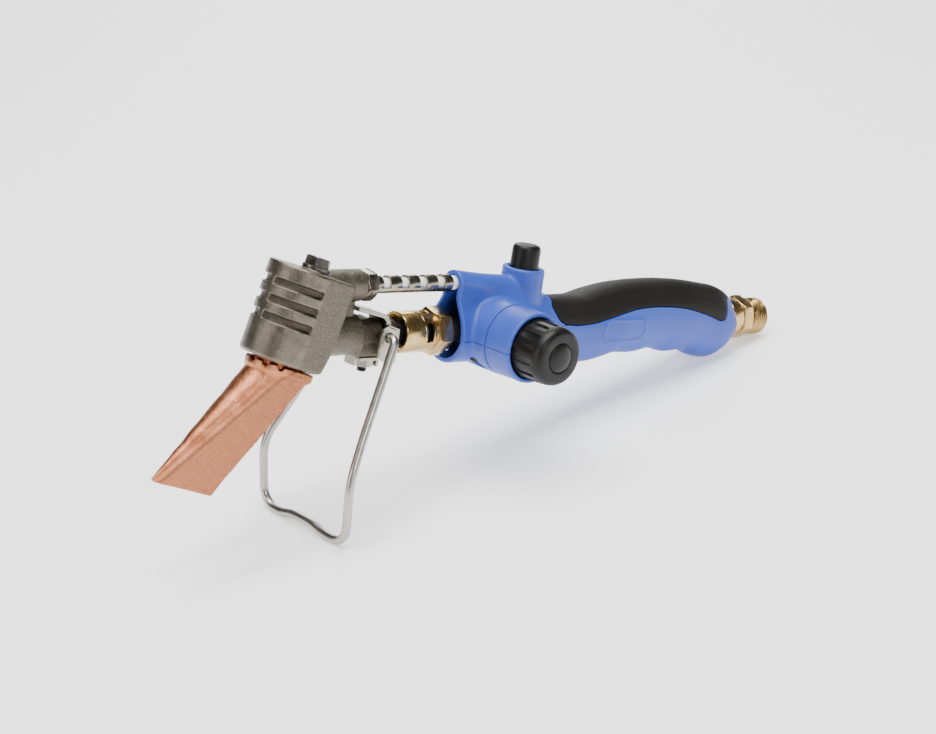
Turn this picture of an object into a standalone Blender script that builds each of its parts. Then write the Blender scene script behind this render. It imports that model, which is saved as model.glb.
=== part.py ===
"""Piezo propane soldering torch with a copper bit, standing on its wire stand and grip butt.

Every piece is modelled in the tool frame, in millimetres: the origin is where the knob axis
crosses the gas line, +X runs back to the gas inlet, -Y runs out through the knob and +Z runs
up through the igniter button. The whole tool hangs on one empty that pitches it head-up
until the stand's bar and the butt of the grip both touch z = 0.
"""

from math import cos, hypot, pi, radians, sin

import bmesh
import bpy
from mathutils import Matrix, Vector

MM = 0.001

# --- where the tool rests -------------------------------------------------------------
PITCH_DEG = 15.381               # nose-up pitch of the gas line when the tool stands
REST_SHIFT = (-0.003643, 0.009238, 0.053403)  # metres, origin under the middle of the tool

# --- gas line (along X) ---------------------------------------------------------------
INLET_END_X = 172.3
THREAD_R = 8.33                  # G 3/8 left-hand, outside
THREAD_ROOT_R = 7.5
THREAD_PITCH = 1.337
THREAD_X = 161.4
INLET_HEX_X = (154.9, 161.2)
INLET_HEX_AF = 17.0
COLLAR_X = (148.0, 154.8)
COLLAR_R = 8.8
PIPE_R = 4.0

# --- air sleeve and mixing tube -------------------------------------------------------
SLEEVE_FRONT_X = -46.7
SLEEVE_R = 8.3
SLEEVE_BORE_R = 7.3
SLEEVE_HEX_X = (-30.0, -23.0)
SLEEVE_HEX_AF = 17.0
AIR_SLOT_X = (-36.0, -32.6)
AIR_SLOT_DEG = 58.0
MIX_R = 5.4

# --- head casting ---------------------------------------------------------------------
BARREL_R = 14.3
BARREL_TOP = (-94.3, 26.0)       # centre of the round front, top plane (x, z)
BARREL_BOTTOM = (-103.4, -8.4)   # the same, mouth plane
BARREL_WALL = 2.7
TOP_TILT_DEG = 15.0
MOUTH_TILT_DEG = 15.5
GROOVE_DROPS = (7.3, 13.9, 20.5)  # groove centres below the top plane
GROOVE_W = 2.9
GROOVE_DEPTH = 1.1
NECK_R = 7.9
NECK_X = -67.0
NECK_SMALL_R = 6.2
NECK_END_X = -57.2
BOLT_BEHIND = 4.0                # bit bolt, behind the centre of the round front
SPARK_Z = 19.4
SPARK_BOSS_R = 6.2
SPARK_BOSS_X = -67.4

# --- copper bit -----------------------------------------------------------------------
BIT_TIP_FRONT = (-151.7, -52.0)
BIT_TIP_REAR = (-124.8, -59.8)
BIT_ROUND_R = 9.0

# --- spark electrode ------------------------------------------------------------------
SPARK_TUBE_R = 3.5
SPARK_TUBE_X = (-62.6, -21.9)
CERAMIC_R = 2.55
WINDOW_XS = (-58.0, -48.7, -39.4, -30.1)
WINDOW_W = 3.6

# --- stand ----------------------------------------------------------------------------
PIVOT = (-59.1, 0.0, 1.4)
WIRE_R = 1.75
EAR_Y = (10.2, 11.8)
STUD_X = -60.6
KNEE = (-82.0, 27.0, -49.5)
BAR = (-78.5, 25.4, -75.2)

# --- valve and knob (along -Y) --------------------------------------------------------
KNOB_END_Y = -46.0
KNOB_R = 12.0
KNOB_COLLAR_Y = -31.4
KNOB_COLLAR_R = 14.3
KNOB_COLLAR_BORE_R = 12.5

# --- igniter --------------------------------------------------------------------------
PIEZO_X = 18.5
PIEZO_COLLAR_R = 8.7
PIEZO_COLLAR_TOP_Z = 25.2
BUTTON_R = 6.0
BUTTON_TOP_Z = 34.6

# --- housing seam ---------------------------------------------------------------------
SEAM_Z = -2.0
INLAY_T = 2.0

# Stations of the moulded body: x, bottom z, half width, widest z, waist half width,
# waist z, crown half width, crown z, top z.
BODY = (
    (-19.6, -13.2, 11.3, -1.3, 5.3, 13.6, 5.8, 19.0, 24.6),
    (-9.0, -13.3, 11.4, -1.3, 5.8, 13.2, 5.9, 18.0, 23.4),
    (-2.0, -14.0, 12.2, -1.3, 7.5, 12.0, 5.9, 17.2, 22.7),
    (8.0, -15.4, 13.0, -1.0, 9.6, 10.8, 6.2, 16.0, 22.0),
    (18.5, -16.0, 13.2, -1.0, 10.6, 9.2, 6.8, 13.0, 18.6),
    (28.0, -16.3, 13.2, -1.0, 10.8, 7.4, 7.6, 10.0, 15.2),
    (38.0, -16.4, 13.0, -0.5, 10.9, 6.6, 8.2, 8.6, 12.8),
    (48.0, -16.5, 13.0, 0.0, 11.0, 6.8, 8.3, 9.2, 12.9),
    (59.0, -16.2, 13.2, 1.0, 11.2, 8.2, 8.4, 11.2, 15.4),
    (68.0, -14.6, 13.3, 1.6, 11.3, 9.6, 8.5, 12.8, 17.0),
    (75.5, -12.9, 13.4, 2.2, 11.4, 10.4, 8.5, 13.8, 17.9),
    (86.0, -13.3, 13.5, 2.6, 11.5, 10.9, 8.5, 14.4, 18.6),
    (98.0, -11.7, 13.5, 2.8, 11.5, 11.0, 8.5, 14.5, 18.8),
    (110.0, -13.9, 13.5, 2.4, 11.4, 10.6, 8.4, 14.0, 18.4),
    (119.5, -13.4, 13.4, 1.6, 11.2, 9.8, 8.3, 13.2, 17.6),
    (128.0, -16.4, 13.2, 0.6, 11.0, 8.6, 8.1, 12.0, 16.5),
    (137.0, -17.7, 12.8, -0.8, 10.6, 7.0, 7.7, 10.6, 15.2),
    (143.0, -15.8, 12.0, -1.6, 9.9, 5.4, 7.0, 8.6, 13.2),
    (147.4, -11.6, 10.6, -1.4, 8.6, 3.6, 6.0, 6.4, 10.2),
    (149.8, -7.6, 8.4, -1.0, 7.0, 2.4, 4.8, 4.6, 8.0),
)

# The parting line between the shells, seen from the side (x, z), front to back.
SEAM = (
    (-30.0, SEAM_Z), (25.0, SEAM_Z), (30.0, 0.6), (36.0, 3.2), (43.0, 2.8), (52.0, 3.3),
    (61.0, 5.0), (70.0, 7.0), (79.0, 8.7), (88.5, 9.3), (98.5, 9.1), (108.5, 8.2),
    (119.0, 6.1), (127.0, 3.9), (133.5, 2.0), (137.0, 2.6), (139.0, 5.4), (141.5, 9.0),
    (146.0, 12.4), (150.0, 20.0),
)
# The front edge of the soft inlay, from the parting line up.
INLAY_FRONT = ((36.0, 3.2), (32.2, 5.2), (30.4, 9.5), (31.2, 13.0), (34.0, 22.0))

# Housing screws, driven up from below: x, y, seat z, tip z, post radius.
SCREWS = (
    (-9.4, -9.4, -9.0, 4.0, 2.85),
    (-12.8, 7.4, -8.2, 2.8, 3.0),
    (40.0, 6.8, -11.2, 7.0, 2.6),
    (126.0, 8.0, -9.1, 7.5, 3.4),
)
SCREW_HEAD_R = 2.4
SCREW_R = 1.45


# ======================================================================================
# helpers
# ======================================================================================
def clear_scene():
    for item in list(bpy.data.objects):
        bpy.data.objects.remove(item, do_unlink=True)
    for mesh in list(bpy.data.meshes):
        bpy.data.meshes.remove(mesh)


def from_bmesh(name, bm):
    bmesh.ops.remove_doubles(bm, verts=bm.verts, dist=1e-5)
    bmesh.ops.recalc_face_normals(bm, faces=bm.faces)
    mesh = bpy.data.meshes.new(name)
    bm.to_mesh(mesh)
    bm.free()
    obj = bpy.data.objects.new(name, mesh)
    bpy.context.scene.collection.objects.link(obj)
    return obj


def loft(name, rings):
    """Skins closed rings of equal length and caps both ends."""
    bm = bmesh.new()
    rows = [[bm.verts.new(p) for p in ring] for ring in rings]
    count = len(rows[0])
    for low, high in zip(rows, rows[1:]):
        for i in range(count):
            j = (i + 1) % count
            bm.faces.new((low[i], low[j], high[j], high[i]))
    bm.faces.new(rows[0])
    bm.faces.new(rows[-1])
    return from_bmesh(name, bm)


def frame_of(axis):
    """Two unit vectors that span the plane across an axis."""
    axis = Vector(axis).normalized()
    side = axis.cross(Vector((0, 0, 1)))
    if side.length < 1e-6:
        side = Vector((1, 0, 0))
    side.normalize()
    return axis, side, axis.cross(side)


def turned(name, profile, base=(0, 0, 0), axis=(1, 0, 0), steps=24):
    """Turns a (station, radius) profile about an axis. A profile that starts and ends at
    different radii away from the axis is closed through its bore."""
    axis, side, up = frame_of(axis)
    base = Vector(base)
    profile = list(profile)
    caps = []
    for end in (0, -1):
        inner = 1 if end == 0 else -2
        if profile[end][1] < 1e-6 and abs(profile[end][0] - profile[inner][0]) < 1e-6:
            profile.pop(end)
            caps.append(end)
    bm = bmesh.new()
    rows = []
    for station, radius in profile:
        centre = base + axis * station
        if radius < 1e-6:
            rows.append([bm.verts.new(centre)])
            continue
        rows.append([
            bm.verts.new(centre + side * (radius * cos(2 * pi * k / steps))
                         + up * (radius * sin(2 * pi * k / steps)))
            for k in range(steps)])
    pairs = list(zip(rows, rows[1:]))
    if not caps and len(rows[0]) > 1 and len(rows[-1]) > 1:
        pairs.append((rows[-1], rows[0]))
    for end in caps:
        bm.faces.new(rows[end])
    for low, high in pairs:
        if len(low) == 1 and len(high) == 1:
            continue
        for k in range(steps):
            n = (k + 1) % steps
            if len(low) == 1:
                bm.faces.new((low[0], high[n], high[k]))
            elif len(high) == 1:
                bm.faces.new((low[k], low[n], high[0]))
            else:
                bm.faces.new((low[k], low[n], high[n], high[k]))
    return from_bmesh(name, bm)


def rod(name, start, end, radius, base=(0, 0, 0), axis=(1, 0, 0), steps=24):
    profile = [(start, 0), (start, radius), (end, radius), (end, 0)]
    return turned(name, profile, base, axis, steps)


def pipe(name, start, end, outer, inner, base=(0, 0, 0), axis=(1, 0, 0), steps=24):
    profile = [(start, inner), (start, outer), (end, outer), (end, inner)]
    return turned(name, profile, base, axis, steps)


def hexagon(name, start, end, across, base=(0, 0, 0), axis=(1, 0, 0), turn=0.0):
    """A hexagonal bar with its corners broken at both ends."""
    axis, side, up = frame_of(axis)
    base = Vector(base)
    corner = across / 2 / cos(pi / 6)
    chamfer = (corner - across / 2) * 0.6
    rings = []
    for station, radius in ((start, across / 2), (start + chamfer, corner),
                            (end - chamfer, corner), (end, across / 2)):
        rings.append([base + axis * station
                      + side * (radius * cos(pi / 3 * k + turn))
                      + up * (radius * sin(pi / 3 * k + turn)) for k in range(6)])
    return loft(name, rings)


def prism(name, outline, low, high):
    """An outline in the XZ plane pushed through from y = low to y = high."""
    return loft(name, [[(x, y, z) for x, z in outline] for y in (low, high)])


def box(name, low, high):
    outline = [(low[0], low[2]), (high[0], low[2]), (high[0], high[2]), (low[0], high[2])]
    return prism(name, outline, low[1], high[1])


def sweep(name, points, radius, steps=10):
    """A round wire along a path, with flat ends."""
    path = [Vector(p) for p in points]
    rings = []
    side = None
    for i, here in enumerate(path):
        back = path[i] - path[i - 1] if i else path[1] - path[0]
        ahead = path[i + 1] - path[i] if i + 1 < len(path) else path[-1] - path[-2]
        along = (back.normalized() + ahead.normalized()).normalized()
        if side is None:
            side = along.cross(Vector((0.31, 0.17, 0.93))).normalized()
        side = (side - along * side.dot(along)).normalized()
        up = along.cross(side)
        rings.append([here + side * (radius * cos(2 * pi * k / steps))
                      + up * (radius * sin(2 * pi * k / steps)) for k in range(steps)])
    return loft(name, rings)


def rounded(points, radii, steps=4):
    """Rounds the corners of a polyline: radii has one entry per inner point."""
    path = [Vector(points[0])]
    for i in range(1, len(points) - 1):
        before, here, after = (Vector(points[k]) for k in (i - 1, i, i + 1))
        a = (before - here).normalized()
        b = (after - here).normalized()
        half = a.angle(b) / 2
        cut = radii[i - 1] / max(0.05, abs(sin(half) / cos(half)))
        start, end = here + a * cut, here + b * cut
        for k in range(steps + 1):
            t = k / steps
            path.append(start.lerp(here, t).lerp(here.lerp(end, t), t))
    path.append(Vector(points[-1]))
    return path


def combine(target, tools, operation):
    """Applies exact booleans and removes the tools."""
    for tool in tools:
        step = target.modifiers.new("cut", "BOOLEAN")
        step.operation = operation
        step.solver = "EXACT"
        step.object = tool
        graph = bpy.context.evaluated_depsgraph_get()
        mesh = bpy.data.meshes.new_from_object(target.evaluated_get(graph))
        target.modifiers.clear()
        target.data = mesh
        bpy.data.objects.remove(tool, do_unlink=True)
    return target


def cut(target, *tools):
    return combine(target, tools, "DIFFERENCE")


def join(target, *tools):
    return combine(target, tools, "UNION")


def keep(target, *tools):
    return combine(target, tools, "INTERSECT")


def copy_of(obj, name):
    twin = obj.copy()
    twin.data = obj.data.copy()
    twin.name = name
    bpy.context.scene.collection.objects.link(twin)
    return twin


MATERIALS = {
    "copper": ((0.72, 0.36, 0.24), 1.0, 0.38),
    "nickel": ((0.56, 0.53, 0.47), 1.0, 0.42),
    "steel": ((0.60, 0.59, 0.57), 1.0, 0.30),
    "brass": ((0.78, 0.57, 0.26), 1.0, 0.28),
    "blue": ((0.13, 0.24, 0.62), 0.0, 0.50),
    "soft_black": ((0.03, 0.03, 0.027), 0.0, 0.60),
    "blackened": ((0.05, 0.05, 0.05), 0.6, 0.50),
    "ceramic": ((0.90, 0.90, 0.88), 0.0, 0.30),
    "rubber": ((0.02, 0.02, 0.02), 0.0, 0.70),
}


def finish(obj, name, material, root, origin=(0, 0, 0)):
    """Names a piece, puts its origin where asked, scales it to metres and hangs it up."""
    origin = Vector(origin)
    obj.data.transform(Matrix.Translation(-origin))
    obj.data.transform(Matrix.Scale(MM, 4))
    bm = bmesh.new()
    bm.from_mesh(obj.data)
    bmesh.ops.remove_doubles(bm, verts=bm.verts, dist=2e-6)
    bmesh.ops.recalc_face_normals(bm, faces=bm.faces)
    bm.to_mesh(obj.data)
    bm.free()
    obj.name = name
    obj.data.name = name
    obj.data.materials.clear()
    colour, metallic, roughness = MATERIALS[material]
    paint = bpy.data.materials.new(name)
    paint.use_nodes = True
    shader = paint.node_tree.nodes["Principled BSDF"]
    shader.inputs["Base Color"].default_value = (*colour, 1.0)
    shader.inputs["Metallic"].default_value = metallic
    shader.inputs["Roughness"].default_value = roughness
    obj.data.materials.append(paint)
    obj.location = origin * MM
    obj.parent = root
    return obj


# ======================================================================================
# head casting
# ======================================================================================
def barrel_ring(s, inset, steps=12, drop=0.0):
    """The D-shaped section of the barrel: s runs from 0 at the top to 1 at the mouth."""
    x = BARREL_TOP[0] + (BARREL_BOTTOM[0] - BARREL_TOP[0]) * s
    z = BARREL_TOP[1] + (BARREL_BOTTOM[1] - BARREL_TOP[1]) * s
    tilt = radians(TOP_TILT_DEG + (MOUTH_TILT_DEG - TOP_TILT_DEG) * s)
    back = 15.3 - 0.9 * s if s < 0.73 else 14.65 - 2.0 * (s - 0.73) / 0.27
    back -= inset
    radius = BARREL_R - inset
    corner = max(1.2, 3.0 - inset * 0.5)
    flat = [(radius * cos(a), radius * sin(a))
            for a in (pi / 2 - pi * k / steps for k in range(steps + 1))]
    for k in range(4):
        a = pi / 2 * k / 3
        flat.append((-(back - corner) - corner * sin(a), -(radius - corner) - corner * cos(a)))
    for k in range(4):
        a = pi / 2 * (1 - k / 3)
        flat.append((-(back - corner) - corner * sin(a), (radius - corner) + corner * cos(a)))
    fwd = Vector((-cos(tilt), 0, sin(tilt)))
    up = Vector((sin(tilt), 0, cos(tilt)))
    return [Vector((x, 0, z)) + fwd * u + Vector((0, v, 0)) - up * drop for u, v in flat]


def barrel_height():
    return hypot(BARREL_BOTTOM[0] - BARREL_TOP[0], BARREL_BOTTOM[1] - BARREL_TOP[1])


def groove_cutter(drop, side):
    """One half of a cooling groove: a band round the front, stopping short of the rib."""
    height = barrel_height()
    s = drop / height
    x = BARREL_TOP[0] + (BARREL_BOTTOM[0] - BARREL_TOP[0]) * s
    z = BARREL_TOP[1] + (BARREL_BOTTOM[1] - BARREL_TOP[1]) * s
    tilt = radians(TOP_TILT_DEG)
    fwd = Vector((-cos(tilt), 0, sin(tilt)))
    up = Vector((sin(tilt), 0, cos(tilt)))
    rings = []
    for k in range(7):
        a = side * radians(5.0 + (92.0 - 5.0) * k / 6)
        out = fwd * cos(a) + Vector((0, 1, 0)) * sin(a)
        ring = []
        for radius, half in ((BARREL_R - GROOVE_DEPTH, 0.42 * GROOVE_W),
                             (BARREL_R + 1.5, 0.62 * GROOVE_W),
                             (BARREL_R + 1.5, -0.62 * GROOVE_W),
                             (BARREL_R - GROOVE_DEPTH, -0.42 * GROOVE_W)):
            ring.append(Vector((x, 0, z)) + out * radius + up * half)
        rings.append(ring)
    return loft("groove", rings)


def top_point(behind, drop=0.0):
    """A point on the barrel's top plane, behind the centre of the round front."""
    tilt = radians(TOP_TILT_DEG)
    fwd = Vector((-cos(tilt), 0, sin(tilt)))
    up = Vector((sin(tilt), 0, cos(tilt)))
    return Vector((BARREL_TOP[0], 0, BARREL_TOP[1])) - fwd * behind - up * drop, up


def mouth_frame():
    tilt = radians(MOUTH_TILT_DEG)
    fwd = Vector((-cos(tilt), 0, sin(tilt)))
    up = Vector((sin(tilt), 0, cos(tilt)))
    return Vector((BARREL_BOTTOM[0], 0, BARREL_BOTTOM[1])), fwd, up


def head_casting(root):
    body = loft("barrel", [
        barrel_ring(0.0, 1.3), barrel_ring(0.0, 0.35, drop=0.35), barrel_ring(0.0, 0.0, drop=1.3),
        barrel_ring(0.5, 0.0), barrel_ring(0.73, 0.0), barrel_ring(0.97, 0.0),
        barrel_ring(1.0, 0.7),
    ])
    neck = turned("neck", [(-92, 0), (-92, NECK_R), (NECK_X - 1.2, NECK_R), (NECK_X, NECK_R - 1.2),
                           (NECK_X, NECK_SMALL_R), (NECK_END_X, NECK_SMALL_R), (NECK_END_X, 0)],
                  steps=28)
    spark = turned("spark", [(-92, 0), (-92, SPARK_BOSS_R), (SPARK_BOSS_X - 0.8, SPARK_BOSS_R),
                             (SPARK_BOSS_X, SPARK_BOSS_R - 0.8), (SPARK_BOSS_X, 0)],
                   base=(0, 0, SPARK_Z), steps=24)
    pad_at, up = top_point(BOLT_BEHIND)
    pad = rod("pad", -1.0, 0.7, 5.4, pad_at, up, 20)
    web = box("web", (-80.0, -2.2, 2.0), (-71.0, 2.2, 18.0))
    foot = box("foot", (-68.2, -5.8, -7.6), (-57.6, 5.8, -0.5))
    join(body, neck, spark, pad, web, foot)
    mouth, fwd, mouth_up = mouth_frame()
    cavity = loft("cavity", [
        barrel_ring(0.0, BARREL_WALL, drop=3.2), barrel_ring(0.5, BARREL_WALL),
        barrel_ring(0.73, BARREL_WALL), barrel_ring(1.0, BARREL_WALL, drop=3.0)])
    bore = turned("bore", [(-96, 0), (-96, 4.4), (-66, 4.4), (-66, MIX_R + 0.15),
                           (-50, MIX_R + 0.15), (-50, 0)], steps=20)
    wire_bore = turned("wire_bore", [(-96, 0), (-96, CERAMIC_R + 0.2), (-72, CERAMIC_R + 0.2),
                                     (-72, 4.1), (-60, 4.1), (-60, 0)],
                       base=(0, 0, SPARK_Z), steps=16)
    bolt_bore = rod("bolt_bore", -8.0, 4.0, 2.75, pad_at, up, 16)
    stud_bore = rod("stud_bore", -14.0, -6.0, 2.1, (STUD_X, 0, 0), (0, 0, 1), 12)
    spot_face = rod("spot_face", 0.7, 6.0, 5.6, pad_at, up, 20)
    cut(body, cavity, bore, wire_bore, bolt_bore, stud_bore, spot_face)
    for drop in GROOVE_DROPS:
        cut(body, groove_cutter(drop, 1), groove_cutter(drop, -1))
    return finish(body, "head_casting", "nickel", root)


def copper_bit(root):
    mouth, fwd, up = mouth_frame()

    def section(radius, back, drop, shift=0.0, steps=12):
        centre = mouth - up * drop + fwd * shift
        flat = [(radius * cos(a), radius * sin(a))
                for a in (pi / 2 - pi * k / steps for k in range(steps + 1))]
        flat += [(-back + 1.2, -radius), (-back, -radius + 1.2), (-back, radius - 1.2),
                 (-back + 1.2, radius)]
        return [centre + fwd * u + Vector((0, v, 0)) for u, v in flat]

    # tip: the round front and the flat sides close on one edge in the plane y = 0
    front = Vector((BIT_TIP_FRONT[0], 0, BIT_TIP_FRONT[1]))
    rear = Vector((BIT_TIP_REAR[0], 0, BIT_TIP_REAR[1]))
    half = 0.9

    def tip_ring(inset, lift, steps=12):
        along = (rear - front).normalized()
        a, b = front + along * inset, rear - along * inset
        ring = []
        for k in range(steps + 1):
            angle = pi / 2 - pi * k / steps
            ring.append(a + Vector((0, (half - inset * 0.3) * sin(angle), 0))
                        - along * (1.0 * cos(angle)) + Vector((0, 0, lift)))
        h = half - inset * 0.3
        ring += [b + Vector((-0.3, -h, lift)), b + Vector((0, -h * 0.6, lift)),
                 b + Vector((0, h * 0.6, lift)), b + Vector((-0.3, h, lift))]
        return ring

    top = section(BIT_ROUND_R, 12.4, 4.4, 0.8)
    low = tip_ring(0.0, 0.8)
    end = tip_ring(0.7, 0.0)
    body = loft("bit", [top, [a.lerp(b, 0.5) for a, b in zip(top, low)], low, end])
    flange = loft("flange", [section(10.6, 12.6, 1.2, 0.2), section(10.6, 12.6, 3.6, 0.2),
                             section(9.6, 12.5, 5.0, 0.6)])
    shank = loft("shank", [section(8.3, 9.6, -26.8, 0.0, 12), section(8.3, 9.6, 3.0, 0.4, 12)])
    join(body, flange, shank)
    pad_at, bolt_up = top_point(BOLT_BEHIND)
    cut(body, rod("hole", -16.0, 10.0, 2.6, pad_at, bolt_up, 16))
    # exhaust notches through the flange
    for angle in (-68, -34, 0, 34, 68):
        a = radians(angle)
        out = fwd * cos(a) + Vector((0, 1, 0)) * sin(a)
        centre = mouth - up * 1.2 + fwd * 0.2
        cut(body, rod("notch", 8.4, 14.0, 1.4, centre, out, 8))
    return finish(body, "copper_bit", "copper", root)


def bit_fasteners(root):
    at, up = top_point(BOLT_BEHIND)
    washer = pipe("washer", 0.75, 1.75, 4.7, 2.75, at, up, 20)
    finish(washer, "bit_bolt_washer", "steel", root)
    bolt = hexagon("bolt", 1.8, 6.0, 8.4, at, up, turn=radians(10))
    join(bolt, rod("shank", -14.5, 2.5, 2.45, at, up, 16))
    finish(bolt, "bit_bolt", "steel", root)


# ======================================================================================
# spark electrode
# ======================================================================================
def electrode(root):
    base = (0, 0, SPARK_Z)
    nut = hexagon("nut", SPARK_BOSS_X + 0.1, -62.2, 11.0, base, turn=radians(8))
    join(nut, rod("thread", -71.6, -66.0, 3.9, base, steps=16))
    cut(nut, rod("bore", -75, -55, CERAMIC_R + 0.2, base, steps=16),
        rod("seat", -64.2, -55, SPARK_TUBE_R + 0.15, base, steps=20))
    finish(nut, "electrode_gland_nut", "nickel", root)

    sleeve = pipe("sleeve", -64.0, SPARK_TUBE_X[1], SPARK_TUBE_R, CERAMIC_R + 0.2, base, steps=20)
    for x in WINDOW_XS:
        cut(sleeve, box("window", (x, -6.0, SPARK_Z - 0.9), (x + WINDOW_W, 6.0, SPARK_Z + 6)))
    finish(sleeve, "electrode_sleeve", "nickel", root)

    ceramic = turned("ceramic", [(-84.0, 1.0), (-84.0, 2.2), (-83.0, CERAMIC_R),
                                 (-21.8, CERAMIC_R), (-21.8, 2.9), (-18.4, 2.9), (-17.4, 2.2),
                                 (-11.0, 2.2), (-11.0, 1.0)], base, steps=16)
    finish(ceramic, "ceramic_insulator", "ceramic", root)

    wire = rod("wire", -88.0, -6.0, 0.85, base, steps=10)
    finish(wire, "electrode_rod", "steel", root)


# ======================================================================================
# burner: mixing tube, air sleeve, jet
# ======================================================================================
def burner(root):
    tube = turned("tube", [(-65.8, 4.2), (-65.8, MIX_R), (-30.4, MIX_R), (-30.4, 4.2)], steps=24)
    for angle in (0, 90):
        out = (0, cos(radians(angle)), sin(radians(angle)))
        cut(tube, rod("port", -9, 9, 1.8, (-34.3, 0, 0), out, 12))
    finish(tube, "mixing_tube", "blackened", root)

    ring = turned("ring", [(-54.0, MIX_R + 0.1), (-54.0, 6.0), (-53.5, 6.5), (-50.0, 6.5),
                           (-49.5, 6.0), (-49.5, MIX_R + 0.1)], steps=20)
    finish(ring, "neck_ring_nut", "nickel", root)

    sleeve = turned("sleeve", [
        (SLEEVE_FRONT_X, SLEEVE_BORE_R), (SLEEVE_FRONT_X, SLEEVE_R - 0.3),
        (SLEEVE_FRONT_X + 0.3, SLEEVE_R), (-31.4, SLEEVE_R), (-31.0, 7.9), (-29.4, 7.9),
        (-29.4, 5.6), (-30.6, 5.6), (-30.6, SLEEVE_BORE_R)], steps=24)
    nut = hexagon("nut", SLEEVE_HEX_X[0], SLEEVE_HEX_X[1], SLEEVE_HEX_AF, turn=radians(12))
    cut(nut, rod("bore", -35, -15, 5.6, steps=24))
    join(sleeve, nut)
    for k in range(4):
        a = 2 * pi * k / 4 - radians(10)
        out = Vector((0, cos(a), sin(a)))
        side = Vector((0, -sin(a), cos(a)))
        half = 9.5 * sin(radians(AIR_SLOT_DEG / 2)) / cos(radians(AIR_SLOT_DEG / 2))
        ring = [Vector((x, 0, 0)) + out * r + side * w for x, r, w in (
            (AIR_SLOT_X[0], 6.2, -half * 0.62), (AIR_SLOT_X[0], 6.2, half * 0.62),
            (AIR_SLOT_X[0], 9.5, half), (AIR_SLOT_X[0], 9.5, -half))]
        cut(sleeve, loft("slot", [ring, [p + Vector((AIR_SLOT_X[1] - AIR_SLOT_X[0], 0, 0))
                                         for p in ring]]))
    finish(sleeve, "air_sleeve", "brass", root)

    holder = turned("holder", [(-30.2, 1.9), (-30.2, 5.4), (-22.8, 5.4), (-22.8, 6.6),
                               (-16.2, 6.6), (-16.2, 4.0), (-8.2, 4.0), (-8.2, 1.9)], steps=24)
    finish(holder, "jet_holder", "brass", root)
    jet = turned("jet", [(-36.8, 0.35), (-36.8, 1.2), (-35.6, 2.2), (-33.6, 2.2), (-33.6, 3.2),
                         (-30.6, 3.2), (-30.6, 1.75), (-26.0, 1.75), (-26.0, 0.35)], steps=16)
    finish(jet, "gas_jet", "brass", root)


# ======================================================================================
# valve, gas pipe and inlet
# ======================================================================================
def valve(root):
    body = turned("body", [(-9.8, 0), (-9.8, 6.4), (10.6, 6.4), (10.6, 5.6), (13.4, 5.6),
                           (13.4, 0)], steps=24)
    join(body, rod("boss", 0.0, 18.0, 6.0, (0, 0, 0), (0, -1, 0), 24))
    cut(body,
        rod("front", -14, -7.6, 4.1, steps=20),
        rod("front_way", -8, -2.6, 1.4, steps=12),
        turned("rear_way", [(1.4, 0), (1.4, 1.4), (9, 1.4), (9, PIPE_R + 0.15), (20, PIPE_R + 0.15),
                            (20, 0)], steps=20),
        turned("needle_way", [(-3.0, 0), (-3.0, 1.0), (0.6, 1.0), (2.6, 2.35), (11.6, 2.35),
                              (11.6, 4.9), (20, 4.9), (20, 0)], (0, 0, 0), (0, -1, 0), 20))
    finish(body, "valve_body", "brass", root)

    needle = turned("needle", [(-0.9, 0), (-0.9, 0.4), (0.5, 0.8), (2.4, 2.05), (2.7, 2.2),
                               (9.4, 2.2), (9.4, 1.2), (14.2, 1.2), (14.2, 0)],
                    (0, 0, 0), (0, -1, 0), 16)
    finish(needle, "valve_needle", "steel", root, origin=(0, 0, 0))

    gland = hexagon("gland", 18.1, 23.4, 12.0, (0, 0, 0), (0, -1, 0))
    join(gland, rod("thread", 14.2, 18.6, 4.75, (0, 0, 0), (0, -1, 0), 20))
    cut(gland, turned("bore", [(10, 0), (10, 4.1), (17.6, 4.1), (17.6, 3.2), (27, 3.2), (27, 0)],
                      (0, 0, 0), (0, -1, 0), 20))
    finish(gland, "gland_nut", "brass", root)

    spindle = turned("spindle", [(11.9, 1.4), (11.9, 4.5), (13.4, 4.5), (13.4, 3.05),
                                 (14.6, 3.05), (14.6, 2.45), (16.4, 2.45), (16.4, 3.05),
                                 (35.5, 3.05), (35.5, 1.3), (25.0, 1.3), (25.0, 1.0),
                                 (16.6, 1.0), (16.6, 1.4)], (0, 0, 0), (0, -1, 0), 20)
    finish(spindle, "valve_spindle", "steel", root, origin=(0, -20, 0))

    ring = []
    for k in range(9):
        a = 2 * pi * k / 9
        ring.append((15.5 + 0.62 * sin(a), 3.2 + 0.62 * cos(a)))
    seal = turned("seal", ring, (0, 0, 0), (0, -1, 0), 20)
    finish(seal, "spindle_oring", "rubber", root, origin=(0, -15.5, 0))


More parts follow.
